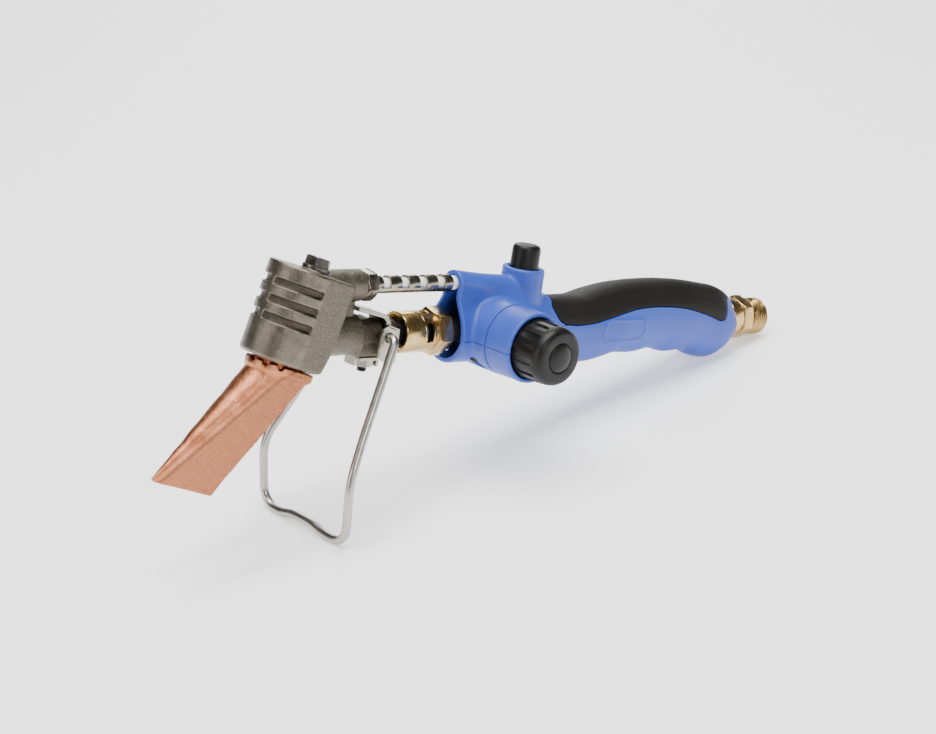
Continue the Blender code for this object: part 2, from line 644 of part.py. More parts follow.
def inlet(root):
    tube = pipe("tube", 9.4, 137.5, PIPE_R, 2.9, steps=20)
    finish(tube, "gas_pipe", "brass", root)

    fitting = turned("fitting", [
        (137.8, 0), (137.8, 5.8), (155.4, 5.8), (155.4, 7.2), (THREAD_X, 7.2),
        (THREAD_X, THREAD_ROOT_R), (THREAD_X + 0.5, THREAD_ROOT_R),
        *[(THREAD_X + 0.5 + THREAD_PITCH * (k + f), r) for k in range(7)
          for f, r in ((0.0, THREAD_ROOT_R), (0.5, THREAD_R))],
        (INLET_END_X - 0.9, THREAD_ROOT_R), (INLET_END_X, THREAD_ROOT_R - 0.5),
        (INLET_END_X, 0)], steps=20)
    nut = hexagon("nut", INLET_HEX_X[0], INLET_HEX_X[1], INLET_HEX_AF, turn=radians(20))
    join(fitting, nut)
    cut(fitting, turned("bore", [(130, 0), (130, 2.9), (165.5, 2.9), (INLET_END_X + 1, 5.4),
                                 (INLET_END_X + 1, 0)], steps=24))
    finish(fitting, "inlet_fitting", "brass", root)

    ring = turned("ring", [(COLLAR_X[0], 5.95), (COLLAR_X[0], COLLAR_R - 0.4),
                           (COLLAR_X[0] + 0.4, COLLAR_R), (COLLAR_X[1] - 0.9, COLLAR_R),
                           (COLLAR_X[1], COLLAR_R - 0.9), (COLLAR_X[1], 5.95)], steps=24)
    finish(ring, "inlet_collar", "brass", root)


# ======================================================================================
# moulded housing
# ======================================================================================
def body_ring(station, inset=0.0, top_inset=None):
    x, bottom, width, wide_z, waist, waist_z, crown, crown_z, top = station
    top_inset = inset if top_inset is None else top_inset
    width, waist, crown = width - inset, waist - inset, crown - inset
    bottom, top = bottom + inset, top - top_inset
    crown_z = min(crown_z, top - 1.0)
    half = []
    for angle in (-90, -66, -42, -20, 0):
        a = radians(angle)
        half.append((width * cos(a), wide_z + (wide_z - bottom) * sin(a)))
    half.append((width * 0.72 + waist * 0.28, wide_z * 0.55 + waist_z * 0.45))
    half.append((waist, waist_z))
    for angle in (10, 35, 62, 90):
        a = radians(angle)
        half.append((crown * cos(a), crown_z + (top - crown_z) * sin(a)))
    ring = [(x, y, z) for y, z in half]
    ring += [(x, -y, z) for y, z in half[-2:0:-1]]
    return ring


def grip_body(name, inset=0.0, first=0, last=None):
    stations = BODY[first:last]
    return loft(name, [body_ring(s, inset) for s in stations])


def above_seam(name, lift):
    outline = [(x, z + lift) for x, z in SEAM] + [(160.0, 60.0), (-30.0, 60.0)]
    if lift > 0:
        outline = [(x - (lift if x > 134 else 0), z) for x, z in outline]
    return prism(name, outline, -60.0, 60.0)


def inlay_zone(name, shrink):
    edge = [(x, z) for x, z in SEAM if x >= 36.0]
    outline = edge + list(reversed(INLAY_FRONT))[:-1]
    middle = Vector((88.0, 0, 12.0))
    moved = []
    for x, z in outline:
        away = Vector((x, 0, z)) - middle
        dx = -shrink if away.x > 20 else shrink if away.x < -20 else 0
        moved.append((x + dx, z + shrink))
    return prism(name, moved, -40.0, 40.0)


def housing_outer():
    outer = grip_body("outer")
    collar = turned("collar", [(-4.0, 0), (-4.0, 14.6), (17.6, 14.9), (18.0, 14.3),
                               (-KNOB_COLLAR_Y - 0.8, KNOB_COLLAR_R),
                               (-KNOB_COLLAR_Y, KNOB_COLLAR_R - 0.8), (-KNOB_COLLAR_Y, 0)],
                    (0, 0, 0), (0, -1, 0), 28)
    piezo = turned("piezo", [(2.0, 0), (2.0, PIEZO_COLLAR_R + 0.4),
                             (PIEZO_COLLAR_TOP_Z - 0.9, PIEZO_COLLAR_R),
                             (PIEZO_COLLAR_TOP_Z, PIEZO_COLLAR_R - 0.9), (PIEZO_COLLAR_TOP_Z, 0)],
                   (PIEZO_X, 0, 0), (0, 0, 1), 20)
    return join(outer, collar, piezo)


def housing_cavity():
    front = []
    for station in BODY[:6]:
        ring = body_ring(station, 1.9)
        front.append(ring)
    mouth = [(-24.0, y, z) for _, y, z in front[0]]
    hollow = loft("hollow", [mouth, *front])
    rear = loft("rear", [body_ring(s, 4.3) for s in BODY[5:18]])
    join(hollow, rear)
    for x, y, _, _, post in SCREWS:
        cut(hollow, rod("post", -25.0, 25.0, post, (x, y, 0), (0, 0, 1), 12))
    join(hollow,
         turned("knob_well", [(6.0, 0), (6.0, 7.2), (24.4, 7.2), (24.4, KNOB_COLLAR_BORE_R),
                              (40.0, KNOB_COLLAR_BORE_R), (40.0, 0)],
                (0, 0, 0), (0, -1, 0), 28),
         turned("button_well", [(3.0, 0), (3.0, 7.0), (15.9, 7.0), (15.9, BUTTON_R + 0.35),
                                (40.0, BUTTON_R + 0.35), (40.0, 0)],
                (PIEZO_X, 0, 0), (0, 0, 1), 20),
         rod("inlet_hole", 138.0, 147.6, 6.1, steps=24),
         rod("collar_hole", 147.6, 165.0, COLLAR_R + 0.25, steps=28))
    return hollow


def housing(root):
    outer = housing_outer()
    cavity = housing_cavity()
    solid = cut(outer, cavity)

    lower = copy_of(solid, "lower")
    cut(lower, above_seam("over", -0.1))
    for x, y, seat, _, _ in SCREWS:
        wide, narrow = SCREW_HEAD_R + 0.2, SCREW_R + 0.3
        cut(lower, turned("screw_way", [(-30.0, 0), (-30.0, wide), (seat, wide), (seat, narrow),
                                        (12.0, narrow), (12.0, 0)], (x, y, 0), (0, 0, 1), 12))
    finish(lower, "handle_shell_lower", "blue", root)

    upper = keep(solid, above_seam("keep", 0.1))
    pocket = inlay_zone("pocket", 0.0)
    core = loft("core", [body_ring(s, INLAY_T + 0.2) for s in BODY[4:19]])
    cut(pocket, core)
    cut(upper, pocket)
    for x, y, _, tip, _ in SCREWS:
        cut(upper, rod("pilot", -12.0, tip + 0.6, SCREW_R + 0.15, (x, y, 0), (0, 0, 1), 12))
    finish(upper, "handle_shell_upper", "blue", root)

    inlay = grip_body("inlay", 0.0, 5, 19)
    keep(inlay, inlay_zone("zone", 0.25))
    cut(inlay, loft("core", [body_ring(s, INLAY_T) for s in BODY[4:19]]))
    finish(inlay, "grip_inlay", "soft_black", root)

    for number, (x, y, seat, tip, _) in enumerate(SCREWS, 1):
        seat -= 0.05
        screw = turned("screw", [(seat - 1.6, 0), (seat - 1.6, SCREW_HEAD_R - 0.3),
                                 (seat - 1.2, SCREW_HEAD_R), (seat, SCREW_HEAD_R),
                                 (seat, SCREW_R), (tip - 1.0, SCREW_R), (tip, 0.5), (tip, 0)],
                       (x, y, 0), (0, 0, 1), 12)
        finish(screw, f"housing_screw_{number}", "steel", root)


# ======================================================================================
# knob and igniter
# ======================================================================================
def knob(root):
    at, out = (0, 0, 0), (0, -1, 0)
    end = -KNOB_END_Y
    body = turned("body", [(25.0, 0), (25.0, KNOB_R), (end - 6.0, KNOB_R), (end - 1.6, KNOB_R - 0.7),
                           (end - 0.4, KNOB_R - 1.6), (end, KNOB_R - 2.8), (end, 0)], at, out, 28)
    cut(body,
        rod("skirt", 20.0, 33.5, 9.6, at, out, 28),
        rod("cap_seat", end - 3.4, end + 2, 6.0, at, out, 24))
    join(body, rod("hub", 26.0, 36.0, 5.2, at, out, 24))
    cut(body, rod("spindle_way", 20.0, 35.9, 3.2, at, out, 20),
        rod("screw_way", 30.0, end, 1.5, at, out, 12))
    for k in range(14):
        a = 2 * pi * (k + 0.5) / 14
        radial = Vector((cos(a), 0, sin(a)))
        side = Vector((-sin(a), 0, cos(a)))
        ring = [radial * r + side * w for r, w in ((11.35, -1.3), (13.0, -1.6), (13.0, 1.6),
                                                    (11.35, 1.3))]
        cut(body, loft("flute", [[p + Vector((0, -31.8, 0)) for p in ring],
                                 [p + Vector((0, -41.4, 0)) for p in ring]]))
    finish(body, "knob", "soft_black", root, origin=(0, -38, 0))

    cap = turned("cap", [(end - 3.3, 2.9), (end - 3.3, 5.85), (end - 0.2, 5.85), (end + 0.5, 4.8),
                         (end + 1.0, 2.6), (end + 1.15, 0), (end - 1.1, 0), (end - 1.1, 2.9)],
                 at, out, 24)
    finish(cap, "knob_cap", "soft_black", root, origin=(0, -44, 0))
    screw = turned("screw", [(28.5, 0), (28.5, 1.15), (end - 3.3, 1.15), (end - 3.3, 2.6),
                             (end - 1.6, 2.6), (end - 1.6, 0)], at, out, 12)
    finish(screw, "knob_screw", "steel", root, origin=(0, -40, 0))


def igniter(root):
    at, up = (PIEZO_X, 0, 0), (0, 0, 1)
    top = BUTTON_TOP_Z
    button = turned("button", [(14.0, 5.1), (14.0, 6.75), (15.8, 6.75), (15.8, BUTTON_R),
                               (top - 1.0, BUTTON_R - 0.15), (top - 0.3, BUTTON_R - 0.5),
                               (top, BUTTON_R - 1.2), (top, 0), (top - 2.6, 0),
                               (top - 2.6, 5.1)], at, up, 20)
    finish(button, "piezo_button", "soft_black", root, origin=(PIEZO_X, 0, 25.0))

    body = turned("body", [(4.6, 0), (4.6, 4.6), (20.4, 4.6), (20.4, 2.2), (22.4, 2.2),
                           (22.4, 0)], at, up, 20)
    finish(body, "piezo_igniter", "soft_black", root)

    coil, turns, start, end = [], 5, 21.4, top - 3.4
    for k in range(turns * 8 + 1):
        a = 2 * pi * k / 8
        z = start + (end - start) * k / (turns * 8)
        coil.append((PIEZO_X + 3.3 * cos(a), 3.3 * sin(a), z))
    finish(sweep("spring", coil, 0.4, 5), "piezo_spring", "steel", root)

    lead = rounded([(PIEZO_X - 4.9, 0, 7.6), (9.0, 0, 7.8), (4.0, 0, 19.4), (-5.6, 0, SPARK_Z)],
                   [2.0, 4.0], 4)
    finish(sweep("lead", lead, 0.9, 8), "piezo_lead", "rubber", root)


# ======================================================================================
# stand
# ======================================================================================
def stand(root):
    px, _, pz = PIVOT
    plate = box("plate", (-56.0, -EAR_Y[1], -8.6), (-54.4, EAR_Y[1], 4.6))
    top = prism("top", [(-70.8, 10.4), (-57.4, 7.2), (-56.0, 5.6), (-56.0, 2.0), (-54.4, 2.0),
                        (-54.4, 6.4), (-56.6, 8.8), (-70.4, 12.0)], -5.4, 5.4)
    bottom = box("bottom", (-67.4, -6.2, -9.2), (-54.8, 6.2, -7.7))
    front_lip = box("front_lip", (-67.4, -3.0, -11.8), (-66.0, 3.0, -8.4))
    rear_lip = box("rear_lip", (-56.2, -3.0, -12.6), (-54.8, 3.0, -8.4))
    join(plate, top, bottom, front_lip, rear_lip)
    ear = [(-55.0, -8.6), (-60.4, -8.2), (-62.6, -6.6), (-63.2, -2.6), (-63.1, 2.2),
           (-61.9, 4.5), (-59.4, 5.4), (-56.9, 4.6), (-55.0, 3.0)]
    for side in (-1, 1):
        low, high = sorted((side * EAR_Y[0], side * EAR_Y[1]))
        join(plate, prism("ear", ear, low, high))
    eyes = rod("eyes", -20, 20, WIRE_R + 0.25, (px, 0, pz), (0, 1, 0), 16)
    cut(plate, eyes,
        rod("tube_way", -60.0, -52.0, MIX_R + 0.35, steps=20),
        rod("stud_way", -16.0, -6.0, 2.2, (STUD_X, 0, 0), (0, 0, 1), 12))
    finish(plate, "stand_bracket", "steel", root)

    stud = rod("stud", -14.8, -6.3, 1.95, (STUD_X, 0, 0), (0, 0, 1), 12)
    finish(stud, "bracket_stud", "blackened", root)
    nut = hexagon("nut", -12.6, -9.3, 7.0, (STUD_X, 0, 0), (0, 0, 1), turn=radians(15))
    cut(nut, rod("bore", -20, -8, 2.1, (STUD_X, 0, 0), (0, 0, 1), 12))
    finish(nut, "bracket_nut", "steel", root)

    half = [(px, 8.4, pz), (px, 15.4, pz), KNEE, BAR]
    points = [(x, -y, z) for x, y, z in half] + [(x, y, z) for x, y, z in reversed(half)]
    path = rounded(points, [2.8, 5.0, 5.5, 5.5, 5.0, 2.8], 4)
    finish(sweep("wire", path, WIRE_R, 8), "stand_wire", "steel", root, origin=PIVOT)


def main():
    clear_scene()
    root = bpy.data.objects.new("tool_frame", None)
    bpy.context.scene.collection.objects.link(root)
    head_casting(root)
    copper_bit(root)
    bit_fasteners(root)
    electrode(root)
    burner(root)
    valve(root)
    inlet(root)
    housing(root)
    knob(root)
    igniter(root)
    stand(root)
    root.rotation_euler = (0.0, radians(PITCH_DEG), 0.0)
    root.location = REST_SHIFT


main()
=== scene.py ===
"""The looks of the soldering torch: every visible piece in detail, in a pale studio.

Pieces are modelled in millimetres in the tool's own frame (origin where the knob axis crosses
the gas line, +X back to the inlet, -Y out through the knob, +Z up through the button) and are
then moved into the row frame, where the torch stands nose up on its wire stand.
"""

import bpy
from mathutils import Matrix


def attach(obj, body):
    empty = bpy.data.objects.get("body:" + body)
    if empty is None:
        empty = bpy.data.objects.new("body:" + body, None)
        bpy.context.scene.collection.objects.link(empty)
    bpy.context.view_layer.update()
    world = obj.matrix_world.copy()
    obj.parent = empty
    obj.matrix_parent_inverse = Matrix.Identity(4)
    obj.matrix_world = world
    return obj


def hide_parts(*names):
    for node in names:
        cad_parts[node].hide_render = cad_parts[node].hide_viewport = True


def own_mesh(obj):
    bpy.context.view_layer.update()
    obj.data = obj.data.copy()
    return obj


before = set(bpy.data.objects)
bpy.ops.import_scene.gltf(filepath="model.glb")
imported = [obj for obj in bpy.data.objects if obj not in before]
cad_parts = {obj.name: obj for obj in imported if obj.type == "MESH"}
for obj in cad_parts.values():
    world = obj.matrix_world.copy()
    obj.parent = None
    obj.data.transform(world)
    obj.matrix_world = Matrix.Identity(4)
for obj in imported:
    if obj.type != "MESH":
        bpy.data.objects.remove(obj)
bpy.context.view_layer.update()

from math import cos, hypot, pi, radians, sin

import bmesh
import bpy
from mathutils import Matrix, Vector, noise

PITCH = radians(15.381)
SHIFT = Vector((-0.003643, 0.009238, 0.053403))
TOOL = Matrix.Translation(SHIFT) @ Matrix.Rotation(PITCH, 4, "Y") @ Matrix.Scale(0.001, 4)

X, Y, Z = Vector((1, 0, 0)), Vector((0, 1, 0)), Vector((0, 0, 1))
KNOB_OUT = Vector((0, -1, 0))


# ---- mesh helpers ----
def from_bmesh(name, bm):
    bmesh.ops.remove_doubles(bm, verts=bm.verts, dist=1e-5)
    bmesh.ops.recalc_face_normals(bm, faces=bm.faces)
    mesh = bpy.data.meshes.new(name)
    bm.to_mesh(mesh)
    bm.free()
    obj = bpy.data.objects.new(name, mesh)
    bpy.context.scene.collection.objects.link(obj)
    return obj


def loft(name, rings):
    bm = bmesh.new()
    rows = [[bm.verts.new(p) for p in ring] for ring in rings]
    count = len(rows[0])
    for low, high in zip(rows, rows[1:]):
        for i in range(count):
            j = (i + 1) % count
            bm.faces.new((low[i], low[j], high[j], high[i]))
    bm.faces.new(rows[0])
    bm.faces.new(rows[-1])
    return from_bmesh(name, bm)


def frame_of(axis):
    axis = Vector(axis).normalized()
    side = axis.cross(Z)
    if side.length < 1e-6:
        side = X.copy()
    side.normalize()
    return axis, side, axis.cross(side)


def turned(name, profile, base=(0, 0, 0), axis=X, steps=64):
    """Turns a (station, radius) profile. It closes on the axis, or through its bore."""
    axis, side, up = frame_of(axis)
    base = Vector(base)
    profile = list(profile)
    caps = []
    for end in (0, -1):
        inner = 1 if end == 0 else -2
        if profile[end][1] < 1e-6 and abs(profile[end][0] - profile[inner][0]) < 1e-6:
            profile.pop(end)
            caps.append(end)
    bm = bmesh.new()
    rows = []
    for station, radius in profile:
        centre = base + axis * station
        if radius < 1e-6:
            rows.append([bm.verts.new(centre)])
        else:
            rows.append([bm.verts.new(centre + side * (radius * cos(2 * pi * k / steps))
                                      + up * (radius * sin(2 * pi * k / steps)))
                         for k in range(steps)])
    pairs = list(zip(rows, rows[1:]))
    if not caps and len(rows[0]) > 1 and len(rows[-1]) > 1:
        pairs.append((rows[-1], rows[0]))
    for end in caps:
        bm.faces.new(rows[end])
    for low, high in pairs:
        if len(low) == 1 and len(high) == 1:
            continue
        for k in range(steps):
            n = (k + 1) % steps
            if len(low) == 1:
                bm.faces.new((low[0], high[n], high[k]))
            elif len(high) == 1:
                bm.faces.new((low[k], low[n], high[0]))
            else:
                bm.faces.new((low[k], low[n], high[n], high[k]))
    return from_bmesh(name, bm)


def rod(name, start, end, radius, base=(0, 0, 0), axis=X, steps=48):
    return turned(name, [(start, 0), (start, radius), (end, radius), (end, 0)], base, axis, steps)


def prism(name, outline, low, high):
    return loft(name, [[Vector((x, y, z)) for x, z in outline] for y in (low, high)])


def box(name, low, high):
    outline = [(low[0], low[2]), (high[0], low[2]), (high[0], high[2]), (low[0], high[2])]
    return prism(name, outline, low[1], high[1])


def hexagon(name, start, end, across, base=(0, 0, 0), axis=X, turn=0.0, ends=(True, True)):
    """A hexagonal nut whose corners are turned off to a cone, as real ones are."""
    flat = across / 2
    corner = flat / cos(pi / 6)
    axis, side, up = frame_of(axis)
    origin = Vector(base)
    rings = [[origin + axis * station + side * (corner * cos(pi / 3 * k + turn))
              + up * (corner * sin(pi / 3 * k + turn)) for k in range(6)]
             for station in (start, end)]
    nut = loft(name, rings)
    depth = (corner - flat) * 0.62
    cone = [(start - 0.01, 0)]
    cone += ([(start - 0.01, flat * 0.97), (start + depth, corner + 0.02)] if ends[0]
             else [(start - 0.01, corner + 0.1)])
    cone += ([(end - depth, corner + 0.02), (end + 0.01, flat * 0.97)] if ends[1]
             else [(end + 0.01, corner + 0.1)])
    cone.append((end + 0.01, 0))
    return combine(nut, [turned("cone", cone, base, axis, 72)], "INTERSECT")


def sweep(name, points, radius, steps):
    path = [Vector(p) for p in points]
    rings, side = [], None
    for i, here in enumerate(path):
        back = path[i] - path[i - 1] if i else path[1] - path[0]
        ahead = path[i + 1] - path[i] if i + 1 < len(path) else path[-1] - path[-2]
        along = (back.normalized() + ahead.normalized()).normalized()
        if side is None:
            side = along.cross(Vector((0.31, 0.17, 0.93))).normalized()
        side = (side - along * side.dot(along)).normalized()
        up = along.cross(side)
        r = radius * (0.72 if i in (0, len(path) - 1) else 1.0)
        rings.append([here + side * (r * cos(2 * pi * k / steps))
                      + up * (r * sin(2 * pi * k / steps)) for k in range(steps)])
    return loft(name, rings)


def rounded(points, radii, steps=10):
    """A polyline with true arcs at its inner points."""
    path = [Vector(points[0])]
    for i in range(1, len(points) - 1):
        before, here, after = (Vector(points[k]) for k in (i - 1, i, i + 1))
        a = (before - here).normalized()
        b = (after - here).normalized()
        half = a.angle(b) / 2
        reach = radii[i - 1] * cos(half) / max(0.05, sin(half))
        middle = (a + b).normalized() * (radii[i - 1] / sin(half))
        centre = here + middle
        start, end = here + a * reach - centre, here + b * reach - centre
        for k in range(steps + 1):
            t = k / steps
            spoke = (start * (1 - t) + end * t).normalized() * radii[i - 1]
            path.append(centre + spoke)
    path.append(Vector(points[-1]))
    return path


def spaced(path, gap):
    """The same path with points no further apart than gap."""
    result = [path[0]]
    for a, b in zip(path, path[1:]):
        count = max(1, int((b - a).length / gap + 0.999))
        result += [a.lerp(b, (k + 1) / count) for k in range(count)]
    return result


def evaluated(obj):
    graph = bpy.context.evaluated_depsgraph_get()
    mesh = bpy.data.meshes.new_from_object(obj.evaluated_get(graph))
    obj.modifiers.clear()
    obj.data = mesh
    return obj


def combine(target, tools, operation):
    for tool in tools:
        step = target.modifiers.new("cut", "BOOLEAN")
        step.operation = operation
        step.solver = "EXACT"
        step.object = tool
        evaluated(target)
        bpy.data.objects.remove(tool, do_unlink=True)
    return target


def cut(target, *tools):
    return combine(target, tools, "DIFFERENCE")


def join(target, *tools):
    return combine(target, tools, "UNION")


def keep(target, *tools):
    return combine(target, tools, "INTERSECT")


def twin(obj, name):
    other = obj.copy()
    other.data = obj.data.copy()
    other.name = name
    bpy.context.scene.collection.objects.link(other)
    return other


def bevel(obj, width, angle=32):
    step = obj.modifiers.new("bevel", "BEVEL")
    step.width = width
    step.segments = 2
    step.limit_method = "ANGLE"
    step.angle_limit = radians(angle)
    step.use_clamp_overlap = True
    return evaluated(obj)


def remesh(obj, voxel, smooth, weight=None, extra=0):
    """Turns a union into one even skin with soft inner and outer corners, as casting and
    moulding leave them. weight(point) adds extra rounds of smoothing where it is above 0."""
    step = obj.modifiers.new("skin", "REMESH")
    step.mode = "VOXEL"
    step.voxel_size = voxel
    evaluated(obj)
    soften(obj, smooth)
    if weight is not None:
        group = obj.vertex_groups.new(name="soft")
        for v in obj.data.vertices:
            w = weight(v.co)
            if w > 0.0:
                group.add([v.index], w, "REPLACE")
        soften(obj, extra, "soft")
        obj.vertex_groups.clear()
    return obj


def soften(obj, rounds, group=""):
    step = obj.modifiers.new("soften", "SMOOTH")
    step.iterations = rounds
    step.factor = 0.5
    step.vertex_group = group
    return evaluated(obj)


def displaced(obj, height):
    """Moves every vertex along its normal by height(point)."""
    mesh = obj.data
    normals = [v.normal.copy() for v in mesh.vertices]
    points = [v.co.copy() for v in mesh.vertices]
    flat = []
    for point, normal in zip(points, normals):
        flat.extend(point + normal * height(point))
    mesh.vertices.foreach_set("co", flat)
    mesh.update()
    return obj


def piece(obj, name, material, slot, *nodes, body="torch", sharp=38):
    """Moves a finished piece to its place, gives it its material and hides the CAD parts it
    replaces.
    """
    obj.name = name
    obj.data.name = name
    obj.data.transform(TOOL)
    obj.data.materials.clear()
    obj.data.materials.append(material)
    for polygon in obj.data.polygons:
        polygon.use_smooth = True
        polygon.material_index = 0
    obj.data.set_sharp_from_angle(angle=radians(sharp))
    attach(obj, body)
    if nodes:
        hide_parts(*nodes)
    return obj


def smoothstep(low, high, value):
    t = min(1.0, max(0.0, (value - low) / (high - low)))
    return t * t * (3 - 2 * t)


# ---- materials ----
class Paint:
    """A small builder for node materials. Vectors come in millimetres in the tool frame."""

    def __init__(self, name):
        self.material = bpy.data.materials.new(name)
        self.material.use_nodes = True
        self.tree = self.material.node_tree
        self.shader = self.tree.nodes["Principled BSDF"]
        here = self.node("TexCoord", "Object", {})
        shifted = self.node("Mapping", "Vector", {"Location": tuple(-SHIFT), "Vector": here})
        self.place = self.node("Mapping", "Vector", {
            "Rotation": (0.0, -PITCH, 0.0), "Scale": (1000.0, 1000.0, 1000.0),
            "Vector": shifted})

    def feed(self, socket, value):
        """Sets the socket to a number or tuple, or links another node's output to it."""
        if isinstance(value, (int, float)):
            socket.default_value = value
        elif isinstance(value, tuple):
            socket.default_value = (*value, 1.0) if socket.type == "RGBA" else value
        else:
            self.tree.links.new(value, socket)

    def node(self, kind, output, inputs, **settings):
        node = self.tree.nodes.new("ShaderNode" + kind)
        for key, value in settings.items():
            setattr(node, key, value)
        for key, value in inputs.items():
            self.feed(node.inputs[key], value)
        return node.outputs[output]

    def stretched(self, scale):
        return self.node("Mapping", "Vector", {"Scale": scale, "Vector": self.place})

    def noise(self, scale, detail=3.0, rough=0.55, vector=None, distortion=0.0):
        return self.node("TexNoise", "Fac", {
            "Scale": scale, "Detail": detail, "Roughness": rough, "Distortion": distortion,
            "Vector": vector or self.place})

    def cells(self, scale):
        return self.node("TexVoronoi", "Distance", {"Scale": scale, "Vector": self.place})

    def ramp(self, value, stops):
        colour = self.node("ValToRGB", "Color", {"Fac": value})
        elements = colour.node.color_ramp.elements
        while len(elements) < len(stops):
            elements.new(0.5)
        for element, (position, tone) in zip(elements, stops):
            element.position = position
            element.color = (*tone, 1.0)
        return colour

    def math(self, operation, a, b=0.0, clamp=False):
        return self.node("Math", "Value", {0: a, 1: b}, operation=operation, use_clamp=clamp)

    def add(self, a, b):
        return self.math("ADD", a, b)

    def less(self, a, b):
        return self.math("SUBTRACT", a, b)

    def times(self, a, b, clamp=False):
        return self.math("MULTIPLY", a, b, clamp)

    def length(self, a, b):
        return self.math("SQRT", self.add(self.times(a, a), self.times(b, b)))

    def along(self, point, direction):
        """How far the surface lies from a point along a direction, both in the side view."""
        return self.add(*(self.times(self.less(self.part(axis), start), step)
                          for axis, start, step in zip("XZ", point, direction)))

    def mix(self, fac, a, b):
        return self.node("Mix", 2, {0: fac, 6: a, 7: b}, data_type="RGBA")

    def range(self, value, low, high, to_low, to_high):
        return self.node("MapRange", "Result", {
            "Value": value, "From Min": low, "From Max": high, "To Min": to_low,
            "To Max": to_high})

    def part(self, axis):
        return self.node("SeparateXYZ", axis, {"Vector": self.place})

    def edge_highlight_mask(self, low, high):
        """1 on outer edges and corners, 0 elsewhere."""
        return self.range(self.node("NewGeometry", "Pointiness", {}), low, high, 0.0, 1.0)

    def bump(self, *layers):
        """Each layer is (height socket, strength, distance in mm)."""
        below = {}
        for height, strength, distance in layers:
            normal = self.node("Bump", "Normal", {
                "Strength": strength, "Distance": distance * 0.001, "Height": height, **below})
            below = {"Normal": normal}
        self.feed(self.shader.inputs["Normal"], normal)

    def set(self, **values):
        names = {"colour": "Base Color", "metal": "Metallic", "rough": "Roughness",
                 "coat": "Coat Weight", "coat_rough": "Coat Roughness",
                 "specular": "Specular IOR Level"}
        for key, value in values.items():
            self.feed(self.shader.inputs[names[key]], value)
        return self.material


# the middle of the round front at the top and bottom of the burner head (x, z)
BARREL_TOP_AT, BARREL_BOTTOM_AT = (-94.3, 26.0), (-103.4, -8.4)


def cast_nickel():
    """Polished on the turned front, granular and duller on the cast flats behind it."""
    p = Paint("cast_nickel")
    x, y = p.part("X"), p.part("Y")
    # distance in front of the plane through the middle of the round front
    ahead = p.along(BARREL_TOP_AT, (-0.966, 0.2588))
    granular = p.range(ahead, -1.2, 0.4, 1.0, 0.42)
    neck = p.range(x, -80.5, -79.0, 1.0, 0.8)
    granular = p.times(granular, neck, clamp=True)
    # the cooling grooves: below the outer face, over the height they cover
    in_front = p.math("MAXIMUM", ahead, 0.0)
    out = p.length(y, in_front)
    sunk = p.range(out, 13.35, 14.0, 1.0, 0.0)
    sunk = p.times(sunk, p.range(ahead, -13.0, -11.5, 0.0, 1.0))
    drop = p.along(BARREL_TOP_AT, (-0.2588, -0.966))
    sunk = p.times(sunk, p.range(drop, 3.5, 4.5, 0.0, 1.0))
    sunk = p.times(sunk, p.range(drop, 24.0, 25.0, 1.0, 0.0))
    granular = p.math("MAXIMUM", granular, sunk)
    grain = p.noise(3.2, 4.0, 0.65)
    pits = p.cells(1.7)
    blotch = p.noise(0.16, 3.0, 0.6)
    streaks = p.noise(1.0, 4.0, 0.6, p.stretched((0.6, 3.0, 0.12)))
    shiny = p.ramp(blotch, [(0.3, (0.115, 0.100, 0.073)), (0.7, (0.215, 0.190, 0.145))])
    dull = p.ramp(grain, [(0.25, (0.055, 0.048, 0.035)), (0.55, (0.155, 0.138, 0.105)),
                          (0.8, (0.46, 0.42, 0.345))])
    colour = p.mix(granular, shiny, dull)
    # painted shade: the insides of the cooling grooves are darkened towards near black
    colour = p.mix(p.times(sunk, 0.75), colour, (0.05, 0.044, 0.034))
    rough_shiny = p.range(streaks, 0.3, 0.7, 0.17, 0.30)
    rough_dull = p.range(grain, 0.2, 0.8, 0.34, 0.52)
    rough = p.add(p.times(rough_dull, granular), p.times(rough_shiny, p.less(1.0, granular)))
    fine = p.times(p.add(grain, p.times(pits, 0.6)), granular)
    p.bump((fine, 0.7, 0.24), (p.noise(1.25, 3.0, 0.7), 0.45, 0.42),
           (p.noise(0.35, 2.0), 0.25, 0.25), (streaks, 0.05, 0.08))
    return p.set(colour=colour, metal=1.0, rough=rough)


